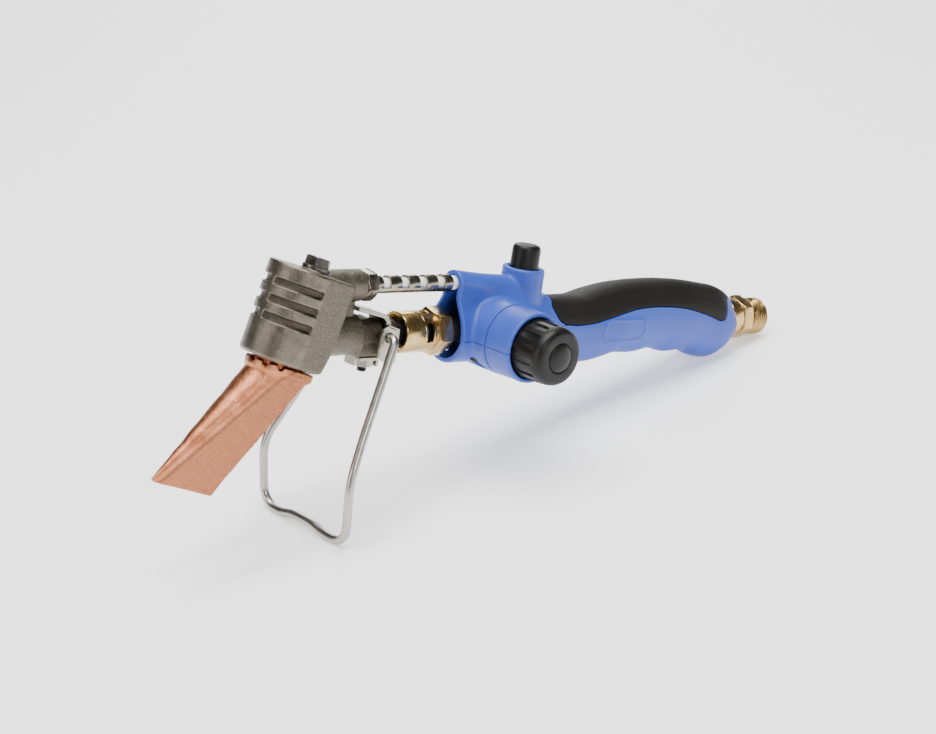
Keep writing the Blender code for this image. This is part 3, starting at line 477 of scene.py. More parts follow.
def copper():
    """Ground copper: a drawn, rounded ridge in front and granular sawn sides."""
    p = Paint("copper")
    # distance in front of the line from the middle of the shank to the front of the tip
    ahead = p.along(BARREL_BOTTOM_AT, (-0.6701, 0.7423))
    wander = p.times(p.less(p.noise(0.7, 4.0, 0.65), 0.5), 3.0)
    reach = p.add(p.add(ahead, 1.2), wander)
    side = p.range(reach, -1.0, 0.6, 1.0, 0.0)
    # crease is a band along the edge of the flat side; below it darkens the colour there as
    # painted shade
    crease = p.range(p.math("ABSOLUTE", p.add(reach, 0.5)), 0.2, 1.1, 0.6, 0.0)
    grain = p.noise(2.6, 5.0, 0.7)
    cells = p.cells(1.3)
    blotch = p.noise(0.13, 4.0, 0.6, distortion=0.4)
    lines = p.noise(1.0, 3.0, 0.6, p.stretched((2.4, 2.4, 0.22)))
    smooth = p.ramp(blotch, [(0.30, (0.38, 0.125, 0.055)), (0.52, (0.54, 0.195, 0.095)),
                             (0.75, (0.70, 0.31, 0.175))])
    rough_colour = p.ramp(grain, [(0.25, (0.20, 0.062, 0.028)), (0.5, (0.46, 0.17, 0.083)),
                                  (0.75, (0.72, 0.33, 0.19))])
    colour = p.mix(side, smooth, rough_colour)
    stain = p.range(p.noise(0.22, 5.0, 0.7), 0.60, 0.74, 0.0, 0.55)
    colour = p.mix(stain, colour, (0.30, 0.16, 0.11))
    # painted shade: a dark band along the crease between the rounded ridge and the flat side
    colour = p.mix(crease, colour, (0.22, 0.085, 0.05))
    rough = p.add(p.range(lines, 0.3, 0.7, 0.30, 0.42),
                  p.times(side, p.range(grain, 0.2, 0.8, 0.02, 0.20)))
    cover = p.math("MAXIMUM", side, 0.35)
    fine = p.times(p.add(grain, p.times(cells, 0.8)), cover)
    p.bump((fine, 0.7, 0.3), (lines, 0.18, 0.12), (blotch, 0.2, 0.3),
           (p.noise(1.15, 3.0, 0.7), 0.40, 0.40), (p.less(1.0, crease), 0.7, 0.5))
    return p.set(colour=colour, metal=1.0, rough=rough)


def turned_metal(name, base, light, rough=(0.16, 0.28), axis="X", rings=9.0, dirt=None,
                 bump=0.06, root=None):
    """Lathe-turned stock: fine rings across an axis, patches of handling and dirt, and, given
    root, painted shade darkening the thread roots.
    """
    p = Paint(name)
    scale = {"X": (rings, 0.05, 0.05), "Y": (0.05, rings, 0.05), "Z": (0.05, 0.05, rings)}[axis]
    lines = p.noise(1.0, 3.0, 0.6, p.stretched(scale))
    patch = p.noise(0.22, 3.0, 0.6)
    colour = p.ramp(patch, [(0.3, base), (0.7, light)])
    if dirt:
        spots = p.range(p.noise(0.55, 5.0, 0.7), 0.60, 0.76, 0.0, 0.6)
        colour = p.mix(spots, colour, dirt)
    # painted shade: between the radii in root the thread roots are darkened towards dark brown
    if root:
        out = p.length(p.part("Y"), p.part("Z"))
        low = p.times(p.range(out, *root, 0.8, 0.0), p.range(out, 6.6, 7.2, 0.0, 1.0))
        colour = p.mix(low, colour, (0.12, 0.07, 0.02))
    grade = p.range(p.add(p.times(lines, 0.6), p.times(patch, 0.4)), 0.3, 0.7, *rough)
    p.bump((lines, bump, 0.10), (p.noise(0.5, 2.0), 0.04, 0.10))
    return p.set(colour=colour, metal=1.0, rough=grade)


def pressed_steel(name, base, light, rough=(0.26, 0.40)):
    """Zinc-plated sheet: rolling lines, faint yellow cast and scuffs."""
    p = Paint(name)
    lines = p.noise(1.0, 4.0, 0.65, p.stretched((0.5, 5.0, 5.0)))
    patch = p.noise(0.30, 4.0, 0.6)
    colour = p.ramp(patch, [(0.3, base), (0.7, light)])
    scuff = p.range(p.noise(1.2, 5.0, 0.75), 0.58, 0.70, 0.0, 0.35)
    colour = p.mix(scuff, colour, (0.30, 0.27, 0.22))
    p.bump((lines, 0.12, 0.08), (p.noise(2.2, 3.0), 0.10, 0.10))
    return p.set(colour=colour, metal=1.0,
                 rough=p.range(lines, 0.3, 0.7, *rough))


def moulded(name, dark, light, rough=(0.40, 0.50), grain=5.0, bump=0.12, specular=0.5,
            edge=None):
    """Moulded plastic: spark-eroded grain, soft changes of tone and, given edge, a painted
    highlight that lightens outer edges and corners.
    """
    p = Paint(name)
    fine = p.noise(grain, 3.0, 0.6)
    tone = p.noise(0.035, 2.0, 0.5)
    colour = p.ramp(tone, [(0.3, dark), (0.7, light)])
    if edge:
        # painted highlight: outer edges and corners are lightened towards the edge colour
        colour = p.mix(p.times(p.edge_highlight_mask(0.53, 0.66), 0.5), colour, edge)
    scuff = p.noise(0.8, 5.0, 0.7, p.stretched((0.4, 1.0, 1.6)))
    p.bump((fine, bump, 0.05), (p.noise(0.12, 2.0), 0.08, 0.25))
    grade = p.range(p.add(p.times(fine, 0.4), p.times(scuff, 0.6)), 0.3, 0.7, *rough)
    return p.set(colour=colour, rough=grade, specular=specular)


def ceramic():
    p = Paint("white_ceramic")
    speck = p.range(p.noise(1.8, 4.0, 0.7), 0.62, 0.75, 0.0, 0.25)
    colour = p.mix(speck, (0.86, 0.86, 0.84), (0.62, 0.58, 0.52))
    p.bump((p.noise(1.2, 2.0), 0.08, 0.06))
    return p.set(colour=colour, rough=0.22, coat=0.3, coat_rough=0.1)


BRASS_TONES = (0.50, 0.33, 0.12), (0.68, 0.48, 0.21)
NICKEL = cast_nickel()
COPPER = copper()
BRASS = turned_metal("turned_brass", *BRASS_TONES, (0.16, 0.30))
BRASS_THREAD = turned_metal("threaded_brass", *BRASS_TONES, (0.22, 0.36), root=(7.55, 8.15))
DARK_STEEL = turned_metal("dark_steel", (0.07, 0.066, 0.058), (0.16, 0.15, 0.135), (0.26, 0.42))
BRASS_Y = turned_metal("turned_brass_y", *BRASS_TONES, axis="Y")
STEEL = turned_metal("bright_steel", (0.16, 0.15, 0.13), (0.30, 0.285, 0.26), (0.26, 0.40),
                     dirt=(0.08, 0.07, 0.06))
NICKEL_TURNED = turned_metal("turned_nickel", (0.26, 0.232, 0.18), (0.42, 0.38, 0.31),
                             (0.18, 0.32), dirt=(0.22, 0.18, 0.13))
WIRE = turned_metal("drawn_wire", (0.36, 0.345, 0.315), (0.46, 0.445, 0.41), (0.28, 0.36),
                    axis="Z", rings=0.3, bump=0.02)
ZINC = pressed_steel("zinc_sheet", (0.30, 0.28, 0.235), (0.46, 0.435, 0.37))
BLACK_STEEL = pressed_steel("blackened_steel", (0.035, 0.033, 0.03), (0.07, 0.066, 0.06),
                            (0.35, 0.5))
# the edge colours below are painted highlights on outer edges and corners
BLUE = moulded("blue_plastic", (0.030, 0.070, 0.400), (0.040, 0.090, 0.450), (0.38, 0.48),
               specular=0.36, edge=(0.13, 0.22, 0.64))
GRIP = moulded("grip_rubber", (0.006, 0.0057, 0.005), (0.010, 0.0095, 0.008), (0.48, 0.60),
               grain=7.0, bump=0.2, specular=0.20)
BLACK = moulded("black_plastic", (0.004, 0.0038, 0.0035), (0.006, 0.0057, 0.005), (0.34, 0.46),
                specular=0.24, edge=(0.02, 0.019, 0.018))
RUBBER = moulded("black_rubber", (0.012, 0.012, 0.012), (0.02, 0.02, 0.02), (0.6, 0.72))
CERAMIC = ceramic()


# ---- head casting ----
BARREL_R, BARREL_WALL = 14.3, 2.7
BARREL_TOP, BARREL_BOTTOM = (Vector((x, 0, z)) for x, z in (BARREL_TOP_AT, BARREL_BOTTOM_AT))
TOP_TILT, MOUTH_TILT = radians(15.0), radians(15.5)
GROOVES = (7.3, 13.9, 20.5)
SPARK_Z = 19.4
SPARK_BOSS_X = -67.4


def tilted(angle):
    """Forward and up on a plane tilted nose-up by the angle."""
    return Vector((-cos(angle), 0, sin(angle))), Vector((sin(angle), 0, cos(angle)))


def barrel_ring(s, inset, drop=0.0):
    centre = BARREL_TOP.lerp(BARREL_BOTTOM, s)
    back = 15.3 - 0.9 * s if s < 0.73 else 14.65 - 2.0 * (s - 0.73) / 0.27
    back -= inset
    radius = BARREL_R - inset
    corner = max(1.2, 3.0 - inset * 0.5)
    flat = [(radius * cos(a), radius * sin(a))
            for a in (pi / 2 - pi * k / 48 for k in range(49))]
    for k in range(7):
        a = pi / 2 * k / 6
        flat.append((-(back - corner) - corner * sin(a), -(radius - corner) - corner * cos(a)))
    for k in range(7):
        a = pi / 2 * (1 - k / 6)
        flat.append((-(back - corner) - corner * sin(a), (radius - corner) + corner * cos(a)))
    fwd, up = tilted(TOP_TILT + (MOUTH_TILT - TOP_TILT) * s)
    return [centre + fwd * u + Y * v - up * drop for u, v in flat]


def groove_cutter(drop, side):
    height = (BARREL_BOTTOM - BARREL_TOP).length
    centre = BARREL_TOP.lerp(BARREL_BOTTOM, drop / height)
    fwd, up = tilted(TOP_TILT)
    rings = []
    for k in range(25):
        a = side * radians(5.0 + (90.0 - 5.0) * k / 24)
        out = fwd * cos(a) + Y * sin(a)
        rings.append([centre + out * radius + up * half for radius, half in (
            (BARREL_R - 1.25, 1.0), (BARREL_R - 0.9, 1.3), (BARREL_R + 1.5, 1.9),
            (BARREL_R + 1.5, -1.9), (BARREL_R - 0.9, -1.3), (BARREL_R - 1.25, -1.0))])
    return loft("groove", rings)


def bolt_place():
    fwd, up = tilted(TOP_TILT)
    return BARREL_TOP - fwd * 4.0, up


def head_casting():
    body = loft("barrel", [
        barrel_ring(0.0, 0.9), barrel_ring(0.0, 0.25, drop=0.3), barrel_ring(0.0, 0.0, drop=0.9),
        barrel_ring(0.5, 0.0), barrel_ring(0.73, 0.0), barrel_ring(0.97, 0.0),
        barrel_ring(1.0, 0.7),
    ])
    neck = turned("neck", [(-92, 0), (-92, 7.9), (-68.0, 7.9), (-67.4, 7.7), (-67.0, 7.2),
                           (-67.0, 6.2), (-57.2, 6.2), (-57.2, 0)])
    spark = turned("spark", [(-92, 0), (-92, 6.2), (-68.2, 6.2), (-67.4, 5.4), (-67.4, 0)],
                   (0, 0, SPARK_Z))
    at, up = bolt_place()
    pad = rod("pad", -1.0, 0.7, 5.4, at, up)
    web = box("web", (-80.0, -2.4, 2.0), (-70.5, 2.4, 18.0))
    foot = box("foot", (-68.2, -5.8, -7.6), (-57.6, 5.8, -0.5))
    join(body, neck, spark, pad, web, foot)
    cavity = loft("cavity", [
        barrel_ring(0.0, BARREL_WALL, drop=3.2), barrel_ring(0.5, BARREL_WALL),
        barrel_ring(0.73, BARREL_WALL), barrel_ring(1.0, BARREL_WALL, drop=3.0)])
    cut(body, cavity,
        turned("bore", [(-96, 0), (-96, 4.4), (-66, 4.4), (-66, 5.6), (-50, 5.6), (-50, 0)]),
        turned("wire_bore", [(-96, 0), (-96, 2.75), (-72, 2.75), (-72, 4.1), (-60, 4.1),
                             (-60, 0)], (0, 0, SPARK_Z)),
        rod("bolt_bore", -8.0, 4.0, 2.75, at, up, 32),
        rod("stud_bore", -14.0, -6.0, 2.2, (-60.6, 0, 0), Z, 32),
        rod("spot_face", 0.7, 6.0, 5.6, at, up))
    for drop in GROOVES:
        cut(body, groove_cutter(drop, 1), groove_cutter(drop, -1))
    remesh(body, 0.30, 5)
    fwd, _ = tilted(TOP_TILT)

    def uneven(p):
        behind = -(p - BARREL_TOP).dot(fwd)
        rough = smoothstep(-1.0, 1.0, behind) * 0.8 + 0.2
        return noise.noise(p * 0.28) * 0.10 + noise.noise(p * 1.1) * 0.05 * rough

    displaced(body, uneven)
    piece(body, "cast_head", NICKEL, "nickel", "head_casting", sharp=60)


# ---- copper bit ----
def copper_bit():
    mouth = BARREL_BOTTOM
    fwd, up = tilted(MOUTH_TILT)

    half_turn = [pi / 2 - pi * k / 48 for k in range(49)]

    def section(radius, back, drop, shift=0.0):
        centre = mouth - up * drop + fwd * shift
        flat = [(radius * cos(a), radius * sin(a))
                for a in half_turn]
        flat += [(-back + 1.2, -radius), (-back, -radius + 1.2), (-back, radius - 1.2),
                 (-back + 1.2, radius)]
        return [centre + fwd * u + Y * v for u, v in flat]

    front, rear = Vector((-151.7, 0, -52.0)), Vector((-124.8, 0, -59.8))
    along = (rear - front).normalized()
    half_tip = 0.9

    def tip_ring(inset, lift):
        a, b = front + along * inset, rear - along * inset
        h = half_tip - inset * 0.3
        return [a + Y * (h * sin(t)) - along * cos(t) + Z * lift for t in half_turn] + [
            b + Vector((x, h * share, lift))
            for x, share in ((-0.3, -1.0), (0, -0.6), (0, 0.6), (-0.3, 1.0))]

    top, low, end = section(9.0, 12.4, 4.4, 0.8), tip_ring(0.0, 0.8), tip_ring(0.7, 0.0)
    between = [[a.lerp(b, t) for a, b in zip(top, low)] for t in (0.25, 0.5, 0.75)]
    body = loft("bit", [top, *between, low, end])
    flange = loft("flange", [section(10.6, 12.6, 1.2, 0.2), section(10.6, 12.6, 3.6, 0.2),
                             section(9.6, 12.5, 5.0, 0.6)])
    shank = loft("shank", [section(8.3, 9.6, -26.8), section(8.3, 9.6, 3.0, 0.4)])
    join(body, flange, shank)
    at, bolt_up = bolt_place()
    cut(body, rod("hole", -16.0, 10.0, 2.6, at, bolt_up, 32))
    for angle in (-68, -34, 0, 34, 68):
        a = radians(angle)
        cut(body, rod("notch", 8.4, 14.0, 1.4, mouth - up * 1.2 + fwd * 0.2,
                      fwd * cos(a) + Y * sin(a), 24))
    remesh(body, 0.34, 4)

    def uneven(p):
        ahead = (p - mouth).dot(fwd) + noise.noise(p * 0.35) * 4.0
        side = smoothstep(1.0, -1.0, ahead)
        wave = noise.noise(p * 0.9) * 0.13 + noise.noise(p * 2.1) * 0.07
        return wave * (0.25 + side) + noise.noise(p * 0.16) * 0.22

    displaced(body, uneven)
    piece(body, "soldering_bit", COPPER, "copper", "copper_bit", sharp=60)

    washer = turned("washer", [(0.75, 2.75), (0.75, 5.1), (0.9, 5.3), (2.0, 5.3), (2.15, 5.1),
                               (2.15, 2.75)], at, bolt_up, 48)
    piece(washer, "bolt_washer", DARK_STEEL, "steel", "bit_bolt_washer")
    bolt = hexagon("bolt", 2.2, 5.6, 8.7, at, bolt_up, radians(10), ends=(False, True))
    join(bolt, rod("shank", -14.5, 2.5, 2.45, at, bolt_up, 32))
    cut(bolt, turned("dish", [(5.3, 0), (5.3, 2.6), (5.8, 3.0), (5.8, 0)], at, bolt_up, 48))
    piece(bevel(bolt, 0.12), "bit_clamp_bolt", DARK_STEEL, "steel", "bit_bolt")


# ---- spark electrode ----
WINDOWS = (-58.0, -48.7, -39.4, -30.1)


def electrode():
    base = (0, 0, SPARK_Z)
    nut = hexagon("nut", SPARK_BOSS_X + 0.1, -62.2, 11.0, base, turn=radians(8))
    join(nut, rod("thread", -71.6, -66.0, 3.9, base))
    cut(nut, rod("bore", -75, -55, 2.75, base), rod("seat", -64.2, -55, 3.65, base))
    piece(bevel(nut, 0.12), "gland_nut_spark", NICKEL_TURNED, "nickel", "electrode_gland_nut")

    sleeve = turned("sleeve", [(-64.0, 2.75), (-64.0, 3.5), (-22.2, 3.5), (-21.9, 3.3),
                               (-21.9, 2.75)], base, steps=64)
    for x in WINDOWS:
        cut(sleeve, box("window", (x, -6.0, SPARK_Z - 0.9), (x + 3.6, 6.0, SPARK_Z + 6)))
    piece(bevel(sleeve, 0.1), "slotted_spark_tube", NICKEL_TURNED, "nickel", "electrode_sleeve")

    core = turned("core", [(-84.0, 1.0), (-84.0, 2.2), (-83.0, 2.55), (-21.8, 2.55),
                           (-21.8, 2.7), (-21.5, 2.9), (-18.8, 2.9), (-18.2, 2.7), (-17.4, 2.2),
                           (-11.0, 2.2), (-11.0, 1.0)], base, steps=48)
    piece(core, "spark_insulator", CERAMIC, "ceramic", "ceramic_insulator")


# ---- burner tube, air sleeve ----
def burner():
    tube = turned("tube", [(-65.8, 4.2), (-65.8, 5.4), (-30.8, 5.4), (-30.4, 5.1),
                           (-30.4, 4.2)])
    for angle in (0, 90):
        a = radians(angle)
        cut(tube, rod("port", -9, 9, 1.8, (-34.3, 0, 0), Y * cos(a) + Z * sin(a), 32))
    piece(bevel(tube, 0.08), "burner_tube", BLACK_STEEL, "blackened_steel", "mixing_tube")

    ring = turned("ring", [(-54.0, 5.5), (-54.0, 5.9), (-53.8, 6.2), (-53.4, 6.5),
                           (-50.1, 6.5), (-49.7, 6.2), (-49.5, 5.9), (-49.5, 5.5)])
    piece(ring, "burner_ring", NICKEL_TURNED, "nickel", "neck_ring_nut")

    sleeve = turned("sleeve", [
        (-46.7, 7.3), (-46.7, 8.05), (-46.6, 8.2), (-46.4, 8.3), (-37.2, 8.3), (-37.1, 8.22),
        (-37.0, 8.3), (-31.5, 8.3), (-31.3, 8.2), (-31.1, 7.95), (-30.9, 7.9), (-29.4, 7.9),
        (-29.4, 5.6), (-30.6, 5.6), (-30.6, 7.3)], steps=96)
    nut = hexagon("nut", -30.0, -23.0, 17.0, turn=radians(12))
    cut(nut, rod("bore", -35, -15, 5.6, steps=64))
    join(sleeve, nut)
    half = 9.5 * sin(radians(29.0)) / cos(radians(29.0))
    for k in range(4):
        a = pi / 2 * k - radians(10)
        out = Vector((0, cos(a), sin(a)))
        side = Vector((0, -sin(a), cos(a)))
        ring = [Vector((-36.0, 0, 0)) + out * r + side * w for r, w in (
            (6.2, -half * 0.62), (6.2, half * 0.62), (9.5, half), (9.5, -half))]
        cut(sleeve, loft("slot", [ring, [p + X * 3.4 for p in ring]]))
    piece(bevel(sleeve, 0.12), "brass_air_sleeve", BRASS, "brass", "air_sleeve")

    collar = turned("holder", [(-30.2, 1.9), (-30.2, 5.4), (-22.8, 5.4), (-22.8, 6.3),
                               (-22.5, 6.6), (-16.2, 6.6), (-16.2, 4.0), (-8.2, 4.0),
                               (-8.2, 1.9)])
    piece(collar, "nozzle_holder", BRASS, "brass", "jet_holder")


# ---- inlet ----
def inlet():
    fitting = turned("fitting", [(137.8, 0), (137.8, 5.8), (155.4, 5.8), (155.4, 7.2),
                                 (161.9, 7.2), (161.9, 0)])
    nut = hexagon("nut", 154.9, 161.2, 17.0, turn=radians(20))
    join(fitting, nut)
    bevel(fitting, 0.14)
    # a true helical thread, rolled over a grid of stations and angles
    start, end, pitch, root, crest = 161.25, 172.3, 1.337, 7.45, 8.33
    rows, around = 84, 96
    bm = bmesh.new()
    grid = []
    for i in range(rows + 1):
        x = start + (end - start) * i / rows
        fade = min(smoothstep(start + 0.2, start + 1.2, x), smoothstep(end, end - 1.3, x))
        row = []
        for k in range(around):
            turn = k / around
            phase = (x / pitch - turn) % 1.0
            ridge = 1.0 - abs(2 * phase - 1.0)
            ridge = smoothstep(0.08, 0.86, ridge)
            lead_in = 0.25 * (1 - smoothstep(end, end - 0.6, x))
            radius = root - lead_in + (crest - root) * ridge * fade
            a = 2 * pi * turn
            row.append(bm.verts.new((x, radius * cos(a), radius * sin(a))))
        grid.append(row)
    for low, high in zip(grid, grid[1:]):
        for k in range(around):
            n = (k + 1) % around
            bm.faces.new((low[k], low[n], high[n], high[k]))
    bm.faces.new(grid[0])
    bm.faces.new(grid[-1])
    thread = from_bmesh("thread", bm)
    join(fitting, thread)
    cut(fitting, turned("bore", [(130, 0), (130, 2.9), (165.5, 2.9), (173.3, 5.7), (173.3, 0)]))
    piece(fitting, "threaded_inlet", BRASS_THREAD, "brass", "inlet_fitting", sharp=30)

    ring = turned("ring", [(148.0, 5.95), (148.0, 8.5), (148.3, 8.8), (153.9, 8.8), (154.3, 8.6),
                           (154.7, 8.2), (154.8, 7.9), (154.8, 5.95)], steps=96)
    piece(ring, "inlet_ring", BRASS, "brass", "inlet_collar")


# ---- moulded housing ----
# x, bottom z, half width, widest z, waist half width, waist z, crown half width, crown z, top z
BODY = (
    (-19.6, -13.2, 11.3, -1.3, 5.3, 13.6, 5.8, 19.0, 24.6),
    (-9.0, -13.3, 11.4, -1.3, 5.8, 13.2, 5.9, 18.0, 23.4),
    (-2.0, -14.0, 12.2, -1.3, 7.5, 12.0, 5.9, 17.2, 22.7),
    (8.0, -15.4, 13.0, -1.0, 9.6, 10.8, 6.2, 16.0, 22.0),
    (18.5, -16.0, 13.2, -1.0, 10.6, 9.2, 6.8, 13.0, 18.6),
    (28.0, -16.3, 13.2, -1.0, 10.8, 7.4, 7.6, 10.0, 15.2),
    (38.0, -16.4, 13.0, -0.5, 10.9, 6.6, 8.2, 8.6, 12.8),
    (48.0, -16.5, 13.0, 0.0, 11.0, 6.8, 8.3, 9.2, 12.9),
    (59.0, -16.2, 13.2, 1.0, 11.2, 8.2, 8.4, 11.2, 15.4),
    (68.0, -14.6, 13.3, 1.6, 11.3, 9.6, 8.5, 12.8, 17.0),
    (75.5, -12.9, 13.4, 2.2, 11.4, 10.4, 8.5, 13.8, 17.9),
    (86.0, -13.3, 13.5, 2.6, 11.5, 10.9, 8.5, 14.4, 18.6),
    (98.0, -11.7, 13.5, 2.8, 11.5, 11.0, 8.5, 14.5, 18.8),
    (110.0, -13.9, 13.5, 2.4, 11.4, 10.6, 8.4, 14.0, 18.4),
    (119.5, -13.4, 13.4, 1.6, 11.2, 9.8, 8.3, 13.2, 17.6),
    (128.0, -16.4, 13.2, 0.6, 11.0, 8.6, 8.1, 12.0, 16.5),
    (137.0, -17.7, 12.8, -0.8, 10.6, 7.0, 7.7, 10.6, 15.2),
    (143.0, -15.8, 12.0, -1.6, 9.9, 5.4, 7.0, 8.6, 13.2),
    (147.4, -11.6, 10.6, -1.4, 8.6, 3.6, 6.0, 6.4, 10.2),
    (149.8, -7.6, 8.4, -1.0, 7.0, 2.4, 4.8, 4.6, 8.0),
)
SEAM_Z = -2.0
SEAM = (
    (-30.0, SEAM_Z), (25.0, SEAM_Z), (30.0, 0.6), (36.0, 3.2), (43.0, 2.8), (52.0, 3.3),
    (61.0, 5.0), (70.0, 7.0), (79.0, 8.7), (88.5, 9.3), (98.5, 9.1), (108.5, 8.2),
    (119.0, 6.1), (127.0, 3.9), (133.5, 2.0), (137.0, 2.6), (139.0, 5.4), (141.5, 9.0),
    (146.0, 12.4), (150.0, 20.0),
)
INLAY_FRONT = ((36.0, 3.2), (32.2, 5.2), (30.4, 9.5), (31.2, 13.0), (34.0, 22.0))
INLAY_T = 2.0
SHELL_WALL, GRIP_WALL = 1.9, 4.3
SEAM_GAP, INLAY_GAP = 0.13, 0.42
# x, y and the height of the seat under the head
SCREWS = ((-9.4, -9.4, -9.0), (-12.8, 7.4, -8.2), (40.0, 6.8, -11.2), (126.0, 8.0, -9.1))
PIEZO_X = 18.5


def hermite(knots, values, x):
    """Monotone cubic through the knots, so that no bump appears between stations."""
    n = len(knots)
    if x <= knots[0]:
        return values[0]
    if x >= knots[-1]:
        return values[-1]
    i = max(k for k in range(n - 1) if knots[k] <= x)
    slope = [(values[k + 1] - values[k]) / (knots[k + 1] - knots[k]) for k in range(n - 1)]

    def tangent(k):
        if k in (0, n - 1):
            return slope[0] if k == 0 else slope[-1]
        a, b = slope[k - 1], slope[k]
        return 0.0 if a * b <= 0 else 2 * a * b / (a + b)

    h = knots[i + 1] - knots[i]
    t = (x - knots[i]) / h
    a, b = tangent(i) * h, tangent(i + 1) * h
    return ((2 * t ** 3 - 3 * t ** 2 + 1) * values[i] + (t ** 3 - 2 * t ** 2 + t) * a
            + (-2 * t ** 3 + 3 * t ** 2) * values[i + 1] + (t ** 3 - t ** 2) * b)


def smooth_line(points, gap=1.0):
    """A smooth curve (x, z) through points whose x increases."""
    xs, zs = [p[0] for p in points], [p[1] for p in points]
    count = int((xs[-1] - xs[0]) / gap)
    return [(xs[0] + (xs[-1] - xs[0]) * k / count,
             hermite(xs, zs, xs[0] + (xs[-1] - xs[0]) * k / count)) for k in range(count + 1)]


def spline(p0, p1, p2, p3, t):
    """The point at share t between p1 and p2 of a smooth curve through all four."""
    return 0.5 * ((2 * p1) + (p2 - p0) * t + (2 * p0 - 5 * p1 + 4 * p2 - p3) * t * t
                  + (3 * p1 - p0 - 3 * p2 + p3) * t ** 3)


def body_ring(x, inset=0.0, fine=4):
    bottom, width, wide_z, waist, waist_z, crown, crown_z, top = (
        hermite([s[0] for s in BODY], [s[c] for s in BODY], x) for c in range(1, 9))
    width, waist, crown = width - inset, waist - inset, crown - inset
    bottom, top = bottom + inset, top - inset
    crown_z = min(crown_z, top - 1.0)
    half = []
    for angle in (-90, -66, -42, -20, 0):
        a = radians(angle)
        half.append((width * cos(a), wide_z + (wide_z - bottom) * sin(a)))
    half.append((width * 0.72 + waist * 0.28, wide_z * 0.55 + waist_z * 0.45))
    half.append((waist, waist_z))
    for angle in (10, 35, 62, 90):
        a = radians(angle)
        half.append((crown * cos(a), crown_z + (top - crown_z) * sin(a)))
    loop = [Vector((y, z)) for y, z in half] + [Vector((-y, z)) for y, z in half[-2:0:-1]]
    count = len(loop)
    ring = []
    for i in range(count):
        p0, p1, p2, p3 = (loop[(i + k) % count] for k in (-1, 0, 1, 2))
        for k in range(fine):
            q = spline(p0, p1, p2, p3, k / fine)
            ring.append(Vector((x, q.x, q.y)))
    return ring


def stations(low, high, gap=1.5):
    count = max(1, int((high - low) / gap + 0.5))
    return [low + (high - low) * k / count for k in range(count + 1)]


def grip_body(name, inset=0.0, low=BODY[0][0], high=BODY[-1][0], fine=4, gap=1.5):
    return loft(name, [body_ring(x, inset, fine) for x in stations(low, high, gap)])


def above_seam(name, lift):
    line = [(x, z + lift) for x, z in smooth_line(SEAM)]
    if lift > 0:
        line = [(x - (lift if x > 136 else 0), z) for x, z in line]
    return prism(name, line + [(160.0, 60.0), (-30.0, 60.0)], -60.0, 60.0)


def inlay_zone(name, shrink):
    edge = [(x, z) for x, z in smooth_line(SEAM) if x >= 36.0]
    front = [Vector((x, 0, z)) for x, z in INLAY_FRONT]
    curve = [front[0]]
    for i in range(len(front) - 1):
        p0, p1 = front[max(0, i - 1)], front[i]
        p2, p3 = front[i + 1], front[min(len(front) - 1, i + 2)]
        curve += [spline(p0, p1, p2, p3, k / 6) for k in range(1, 7)]
    outline = edge + [(p.x, p.z) for p in reversed(curve)]
    moved = []
    for x, z in outline:
        dx = -shrink if x > 108 else shrink if x < 68 else 0
        moved.append((x + dx, z + shrink))
    return prism(name, moved[:-1], -40.0, 40.0)


def fillet_weight(p):
    """1 where the drum and the button collar grow out of the body, 0 elsewhere."""
    drum = abs(hypot(p.x, p.z) - 14.6)
    at_drum = (1 - smoothstep(1.5, 5.0, drum)) * smoothstep(-19.5, -16.0, p.y)
    at_drum *= smoothstep(-4.0, -8.0, p.y)
    collar = abs(hypot(p.x - PIEZO_X, p.y) - 8.9)
    at_collar = (1 - smoothstep(1.2, 4.0, collar)) * (1 - smoothstep(20.5, 23.0, p.z))
    at_collar *= smoothstep(6.0, 12.0, p.z)
    waist = 1.0 - smoothstep(-6.0, 6.0, p.x)
    front = 0.35 * waist * smoothstep(-18.0, -15.0, p.x)
    return max(at_drum, at_collar, front)


def plain_outline(p):
    """A raised outline with straight sides and round ends on the side of the grip."""
    past = max(abs(p.x - 71.3) - 8.0, 0.0)
    off = abs(hypot(past, p.z + 0.2) - 4.6)
    return 0.45 * smoothstep(0.95, 0.30, off) if abs(p.y) > 5.0 else 0.0


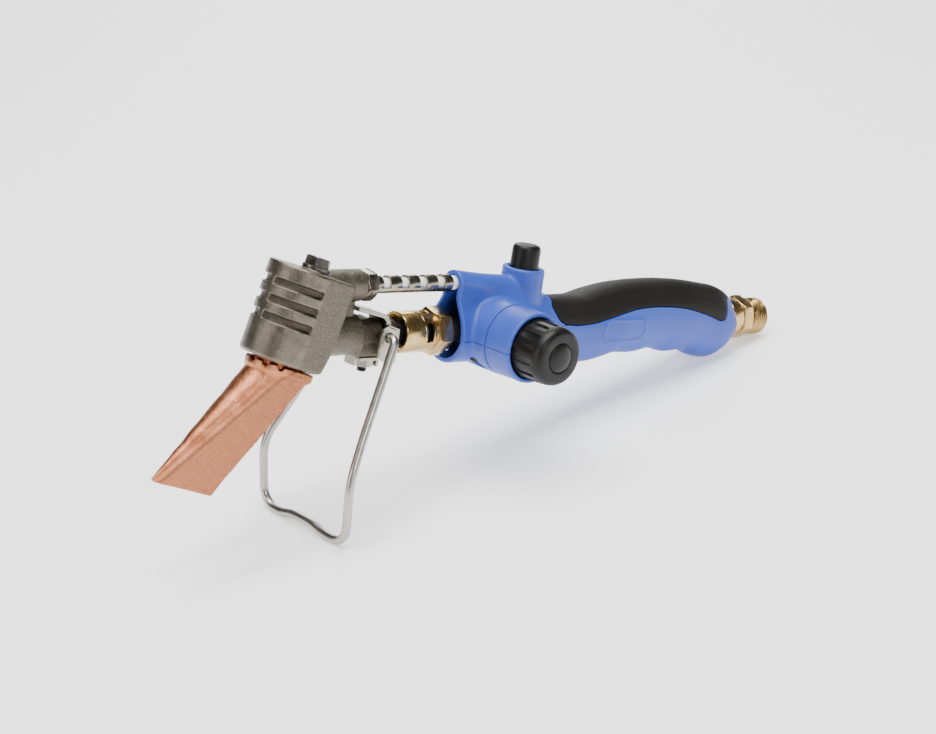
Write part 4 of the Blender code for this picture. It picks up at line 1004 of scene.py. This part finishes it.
def housing():
    outer = grip_body("outer", fine=3, gap=2.0)
    collar = turned("collar", [(-4.0, 0), (-4.0, 14.7), (17.6, 14.7), (18.0, 14.5), (20.0, 14.4),
                               (31.4, 14.3), (31.4, 0)], (0, 0, 0), KNOB_OUT, 96)
    piezo = turned("piezo", [(2.0, 0), (2.0, 9.1), (22.0, 8.8), (25.2, 8.7), (25.2, 0)],
                   (PIEZO_X, 0, 0), Z, 72)
    join(outer, collar, piezo)
    remesh(outer, 0.55, smooth=3, weight=fillet_weight,
           extra=34)
    displaced(outer, plain_outline)
    groove = turned("groove", [(17.75, 14.1), (17.55, 16.0), (18.45, 16.0), (18.25, 14.1)],
                    (0, 0, 0), KNOB_OUT, 96)
    cut(outer, groove)

    hollow = loft("hollow", [[Vector((-24.0, p.y, p.z)) for p in body_ring(-19.6, SHELL_WALL, 3)]]
                  + [body_ring(x, SHELL_WALL, 3) for x in stations(-19.6, 28.0, 3.0)])
    join(hollow,
         loft("rear", [body_ring(x, GRIP_WALL, 3) for x in stations(27.0, 143.0, 4.0)]),
         turned("knob_well", [(6.0, 0), (6.0, 7.2), (24.4, 7.2), (24.4, 12.5), (30.6, 12.5),
                              (31.0, 12.7), (31.6, 13.4), (40.0, 13.4), (40.0, 0)],
                (0, 0, 0), KNOB_OUT, 72),
         turned("button_well", [(3.0, 0), (3.0, 7.0), (15.9, 7.0), (15.9, 6.35), (24.2, 6.35),
                                (24.7, 6.6), (25.4, 7.4), (40.0, 7.4), (40.0, 0)],
                (PIEZO_X, 0, 0), Z, 64),
         rod("inlet_hole", 138.0, 147.6, 6.1),
         rod("collar_hole", 147.6, 165.0, 9.05))
    cut(outer, hollow)
    for index, (x, y, seat) in enumerate(SCREWS):
        cut(outer, turned("screw_way", [(-30.0, 0), (-30.0, 2.6), (seat, 2.6), (seat, 0)],
                          (x, y, 0), Z, 32))
        if index == 0:
            cut(outer, turned("mouth", [(-30.0, 0), (-30.0, 2.9), (seat - 1.0, 2.9),
                                        (seat - 1.0, 0)], (x + 1.9, y - 1.5, 0), Z, 32))

    lower = cut(twin(outer, "lower"), above_seam("over", -SEAM_GAP))
    piece(lower, "lower_shell", BLUE, "blue_plastic", "handle_shell_lower", sharp=50)

    upper = keep(outer, above_seam("keep", SEAM_GAP))
    pocket = inlay_zone("pocket", 0.0)
    cut(pocket, grip_body("core", INLAY_T + 0.2, 18.5, 147.4, fine=3, gap=3.0))
    cut(upper, pocket)
    piece(upper, "upper_shell", BLUE, "blue_plastic", "handle_shell_upper", sharp=50)

    inlay = grip_body("inlay", 0.0, 28.0, 147.4, fine=4, gap=1.5)
    keep(inlay, inlay_zone("zone", INLAY_GAP))
    cut(inlay, grip_body("core", INLAY_T, 18.5, 147.4, fine=3, gap=3.0))
    bevel(inlay, 0.35, 50)
    piece(inlay, "soft_grip", GRIP, "grip_rubber", "grip_inlay", sharp=50)


# ---- knob and button ----
FLUTES = 14
KNOB_END = 46.0


def knob():
    out, end = KNOB_OUT, KNOB_END
    body = turned("body", [(25.0, 0), (25.0, 11.6), (25.4, 12.0), (39.6, 12.0), (42.6, 11.8),
                           (44.3, 11.45), (45.25, 10.95), (45.8, 10.25), (46.0, 9.4), (46.0, 6.3),
                           (45.85, 6.1), (45.5, 6.0), (45.5, 0)],
                  (0, 0, 0), out, 112)
    cut(body, rod("skirt", 20.0, 33.5, 9.6, (0, 0, 0), out, 64),
        rod("cap_seat", end - 3.4, end + 2, 6.0, (0, 0, 0), out, 64))
    join(body, rod("hub", 26.0, 36.0, 5.2, (0, 0, 0), out, 48))
    cut(body, rod("spindle_way", 20.0, 35.9, 3.2, (0, 0, 0), out, 48),
        rod("screw_way", 30.0, end, 1.5, (0, 0, 0), out, 32))
    for k in range(FLUTES):
        a = 2 * pi * (k + 0.5) / FLUTES
        radial = Vector((cos(a), 0, sin(a)))
        side = Vector((-sin(a), 0, cos(a)))
        ring = [radial * r + side * w for r, w in ((11.3, -1.25), (13.0, -1.7), (13.0, 1.7),
                                                   (11.3, 1.25))]
        cut(body, loft("flute", [[p - Y * 31.8 for p in ring], [p - Y * 41.6 for p in ring]]))
    piece(bevel(body, 0.22, 30), "valve_knob", BLACK, "black_plastic", "knob", body="knob")

    cap = turned("cap", [(end - 3.3, 2.9), (end - 3.3, 5.85), (end - 0.2, 5.85),
                         (end + 0.1, 5.7), (end + 0.4, 5.1), (end + 0.7, 4.2), (end + 0.92, 3.2),
                         (end + 1.06, 2.1), (end + 1.13, 1.0), (end + 1.15, 0), (end - 1.1, 0),
                         (end - 1.1, 2.9)], (0, 0, 0), out, 72)
    piece(cap, "knob_centre_cap", BLACK, "black_plastic", "knob_cap", body="knob")


def button():
    body = turned("button", [(14.0, 5.1), (14.0, 6.5), (14.2, 6.75), (15.6, 6.75), (15.8, 6.5),
                             (15.8, 6.0), (32.8, 5.85), (33.6, 5.6), (34.15, 5.2), (34.45, 4.6),
                             (34.58, 3.6), (34.6, 2.0), (34.6, 0), (32.0, 0), (32.0, 5.1)],
                  (PIEZO_X, 0, 0), Z, 72)
    piece(body, "igniter_button", BLACK, "black_plastic", "piezo_button", body="button")


def spring():
    """The coil under the button."""
    start, end, turns, steps = 21.4, 31.2, 5, 32
    coil = []
    for k in range(turns * steps + 1):
        a = 2 * pi * k / steps
        coil.append(Vector((PIEZO_X + 3.3 * cos(a), 3.3 * sin(a),
                            start + (end - start) * k / (turns * steps))))
    wire = piece(sweep("coil", coil, 0.4, 12), "return_spring", WIRE, "steel",
                 "piezo_spring")
    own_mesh(wire)


# ---- stand ----
PIVOT = Vector((-59.1, 0.0, 1.4))
STUD_X = -60.6
WIRE_R = 1.75


def stand():
    plate = box("plate", (-56.0, -11.8, -8.6), (-54.4, 11.8, 4.6))
    top = prism("top", [(-70.8, 10.4), (-57.4, 7.2), (-56.0, 5.6), (-56.0, 2.0), (-54.4, 2.0),
                        (-54.4, 6.4), (-56.6, 8.8), (-70.4, 12.0)], -5.4, 5.4)
    bottom = box("bottom", (-67.4, -6.2, -9.2), (-54.8, 6.2, -7.7))
    front_lip = box("front_lip", (-67.4, -3.0, -11.8), (-66.0, 3.0, -8.4))
    rear_lip = box("rear_lip", (-56.2, -3.0, -12.6), (-54.8, 3.0, -8.4))
    join(plate, top, bottom, front_lip, rear_lip)
    ear = [(-55.0, -8.6), (-60.4, -8.2), (-62.6, -6.6), (-63.2, -2.6), (-63.1, 2.2),
           (-61.9, 4.5), (-59.4, 5.4), (-56.9, 4.6), (-55.0, 3.0)]
    for side in (-1, 1):
        low, high = sorted((side * 10.2, side * 11.8))
        join(plate, prism("ear", ear, low, high))
    cut(plate, rod("eyes", -20, 20, 2.0, (PIVOT.x, 0, PIVOT.z), Y, 48),
        rod("tube_way", -60.0, -52.0, 5.75),
        rod("stud_way", -16.0, -6.0, 2.2, (STUD_X, 0, 0), Z))
    remesh(plate, 0.2, 5)
    piece(plate, "stand_yoke", ZINC, "zinc_steel", "stand_bracket", sharp=60)

    profile = [(-14.8, 0), (-14.8, 1.5), (-14.5, 1.85)]
    z = -14.3
    while z < -6.8:
        profile += [(z, 1.95), (z + 0.35, 1.65)]
        z += 0.7
    profile += [(-6.3, 1.9), (-6.3, 0)]
    stud = turned("stud", profile, (STUD_X, 0, 0), Z, 40)
    piece(stud, "yoke_stud", BLACK_STEEL, "blackened_steel", "bracket_stud")
    nut = hexagon("nut", -12.6, -9.3, 7.0, (STUD_X, 0, 0), Z, radians(15))
    cut(nut, rod("bore", -20, -8, 2.1, (STUD_X, 0, 0), Z))
    piece(bevel(nut, 0.1), "yoke_nut", ZINC, "zinc_steel", "bracket_nut")

    knee, bar = (-82.0, 27.0, -49.5), (-78.5, 25.4, -75.2)
    half = [(PIVOT.x, 8.4, PIVOT.z), (PIVOT.x, 15.4, PIVOT.z), knee, bar]
    points = [(x, -y, z) for x, y, z in half] + [(x, y, z) for x, y, z in reversed(half)]
    path = spaced(rounded(points, [2.8, 22.0, 7.5, 7.5, 22.0, 2.8]), 1.0)
    bent = []
    for p in path:
        sway = min(1.0, max(0.0, (-10.0 - p.z) / 20.0))
        bow = smoothstep(-71.0, -74.5, p.z) * (1.0 - smoothstep(4.0, 15.0, abs(p.y - 0.5)))
        bent.append(p + Vector((noise.noise(p * 0.05), noise.noise(p * 0.05 + X * 9),
                                0.0)) * 0.5 * sway + Z * 1.7 * bow)
    wire = sweep("wire", bent, WIRE_R, 24)
    piece(wire, "wire_stand", WIRE, "wire_steel", "stand_wire", body="stand", sharp=60)


# ---- pieces carried over from the CAD ----
def carried_over():
    finishes = (
        (BRASS, "gas_jet", "gas_pipe"), (BRASS_Y, "valve_body", "gland_nut"),
        (STEEL, "electrode_rod", "valve_needle", "valve_spindle", "knob_screw"),
        # painted shade: the housing screws get near-black steel so that their holes read as dark
        # shadow
        (BLACK_STEEL, "housing_screw_1", "housing_screw_2", "housing_screw_3",
         "housing_screw_4"),
        (RUBBER, "spindle_oring", "piezo_lead"), (BLACK, "piezo_igniter"))
    for material, *names in finishes:
        for name in names:
            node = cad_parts[name]
            if not node.material_slots:
                node.data.materials.append(material)
            for slot in node.material_slots:
                slot.material = material


# ---- studio ----
def floor():
    bm = bmesh.new()
    bmesh.ops.create_grid(bm, x_segments=1, y_segments=1, size=6.0)
    plane = from_bmesh("floor", bm)
    material = bpy.data.materials.new("pale_floor")
    material.use_nodes = True
    shader = material.node_tree.nodes["Principled BSDF"]
    for name, value in (
            ("Base Color", (0.97, 0.97, 0.97, 1.0)), ("Roughness", 0.65),
            ("Specular IOR Level", 0.2), ("Emission Color", (1.0, 1.0, 1.0, 1.0)),
            ("Emission Strength", 0.60)):
        shader.inputs[name].default_value = value
    plane.data.materials.append(material)


def area(name, place, target, size, power):
    light = bpy.data.lights.new(name, "AREA")
    light.shape = "RECTANGLE"
    light.size, light.size_y = size
    light.energy = power
    obj = bpy.data.objects.new(name, light)
    obj.location = place
    obj.rotation_euler = (Vector(target) - Vector(place)).to_track_quat("-Z", "Y").to_euler()
    bpy.context.scene.collection.objects.link(obj)


def studio():
    floor()
    world = bpy.data.worlds.new("studio")
    bpy.context.scene.world = world
    world.use_nodes = True
    tree = world.node_tree
    background = tree.nodes["Background"]
    coords = tree.nodes.new("ShaderNodeTexCoord")
    split = tree.nodes.new("ShaderNodeSeparateXYZ")
    ramp = tree.nodes.new("ShaderNodeValToRGB")
    horizon, zenith = ramp.color_ramp.elements
    horizon.position, horizon.color = 0.02, (0.15, 0.15, 0.15, 1)
    zenith.position, zenith.color = 0.75, (0.04, 0.04, 0.042, 1)
    tree.links.new(coords.outputs["Generated"], split.inputs["Vector"])
    tree.links.new(split.outputs["Z"], ramp.inputs["Fac"])
    tree.links.new(ramp.outputs["Color"], background.inputs["Color"])
    background.inputs["Strength"].default_value = 0.9
    for name, place, target, size, power in (
            ("top", (0.0, 0.05, 1.5), (0, 0, 0), (1.5, 1.0), 50.0),
            ("key", (-0.35, -1.25, 0.75), (0, 0, 0.05), (0.6, 0.4), 9.0),
            ("left", (-1.25, 0.15, 0.55), (-0.05, 0, 0.05), (0.35, 0.9), 6.0),
            ("rim", (0.75, 0.95, 0.6), (0.05, 0, 0.05), (0.6, 0.5), 7.0)):
        area(name, place, target, size, power)


# in the same unit, so that only their ratio matters
FOCAL_LENGTH, IMAGE_WIDTH = 2123.67, 936.0


def camera():
    lens = bpy.data.cameras.new("camera")
    lens.sensor_fit = "HORIZONTAL"
    lens.sensor_width = 36.0
    lens.lens = FOCAL_LENGTH / IMAGE_WIDTH * lens.sensor_width
    lens.clip_start = 0.02
    obj = bpy.data.objects.new("camera", lens)
    bpy.context.scene.collection.objects.link(obj)
    right = Vector((0.732125, -0.664158, 0.151288))
    up = Vector((0.046413, 0.270222, 0.961679))
    back = Vector((-0.679588, -0.697047, 0.228662))
    rotation = Matrix.Rotation(PITCH, 3, "Y") @ Matrix((right, up, back)).transposed()
    place = TOOL @ Vector((-586.6695, -597.5891, 179.9544))
    obj.matrix_world = Matrix.LocRotScale(place, rotation, (1, 1, 1))
    bpy.context.scene.camera = obj


head_casting()
copper_bit()
electrode()
burner()
inlet()
housing()
knob()
button()
spring()
stand()
carried_over()
studio()
camera()
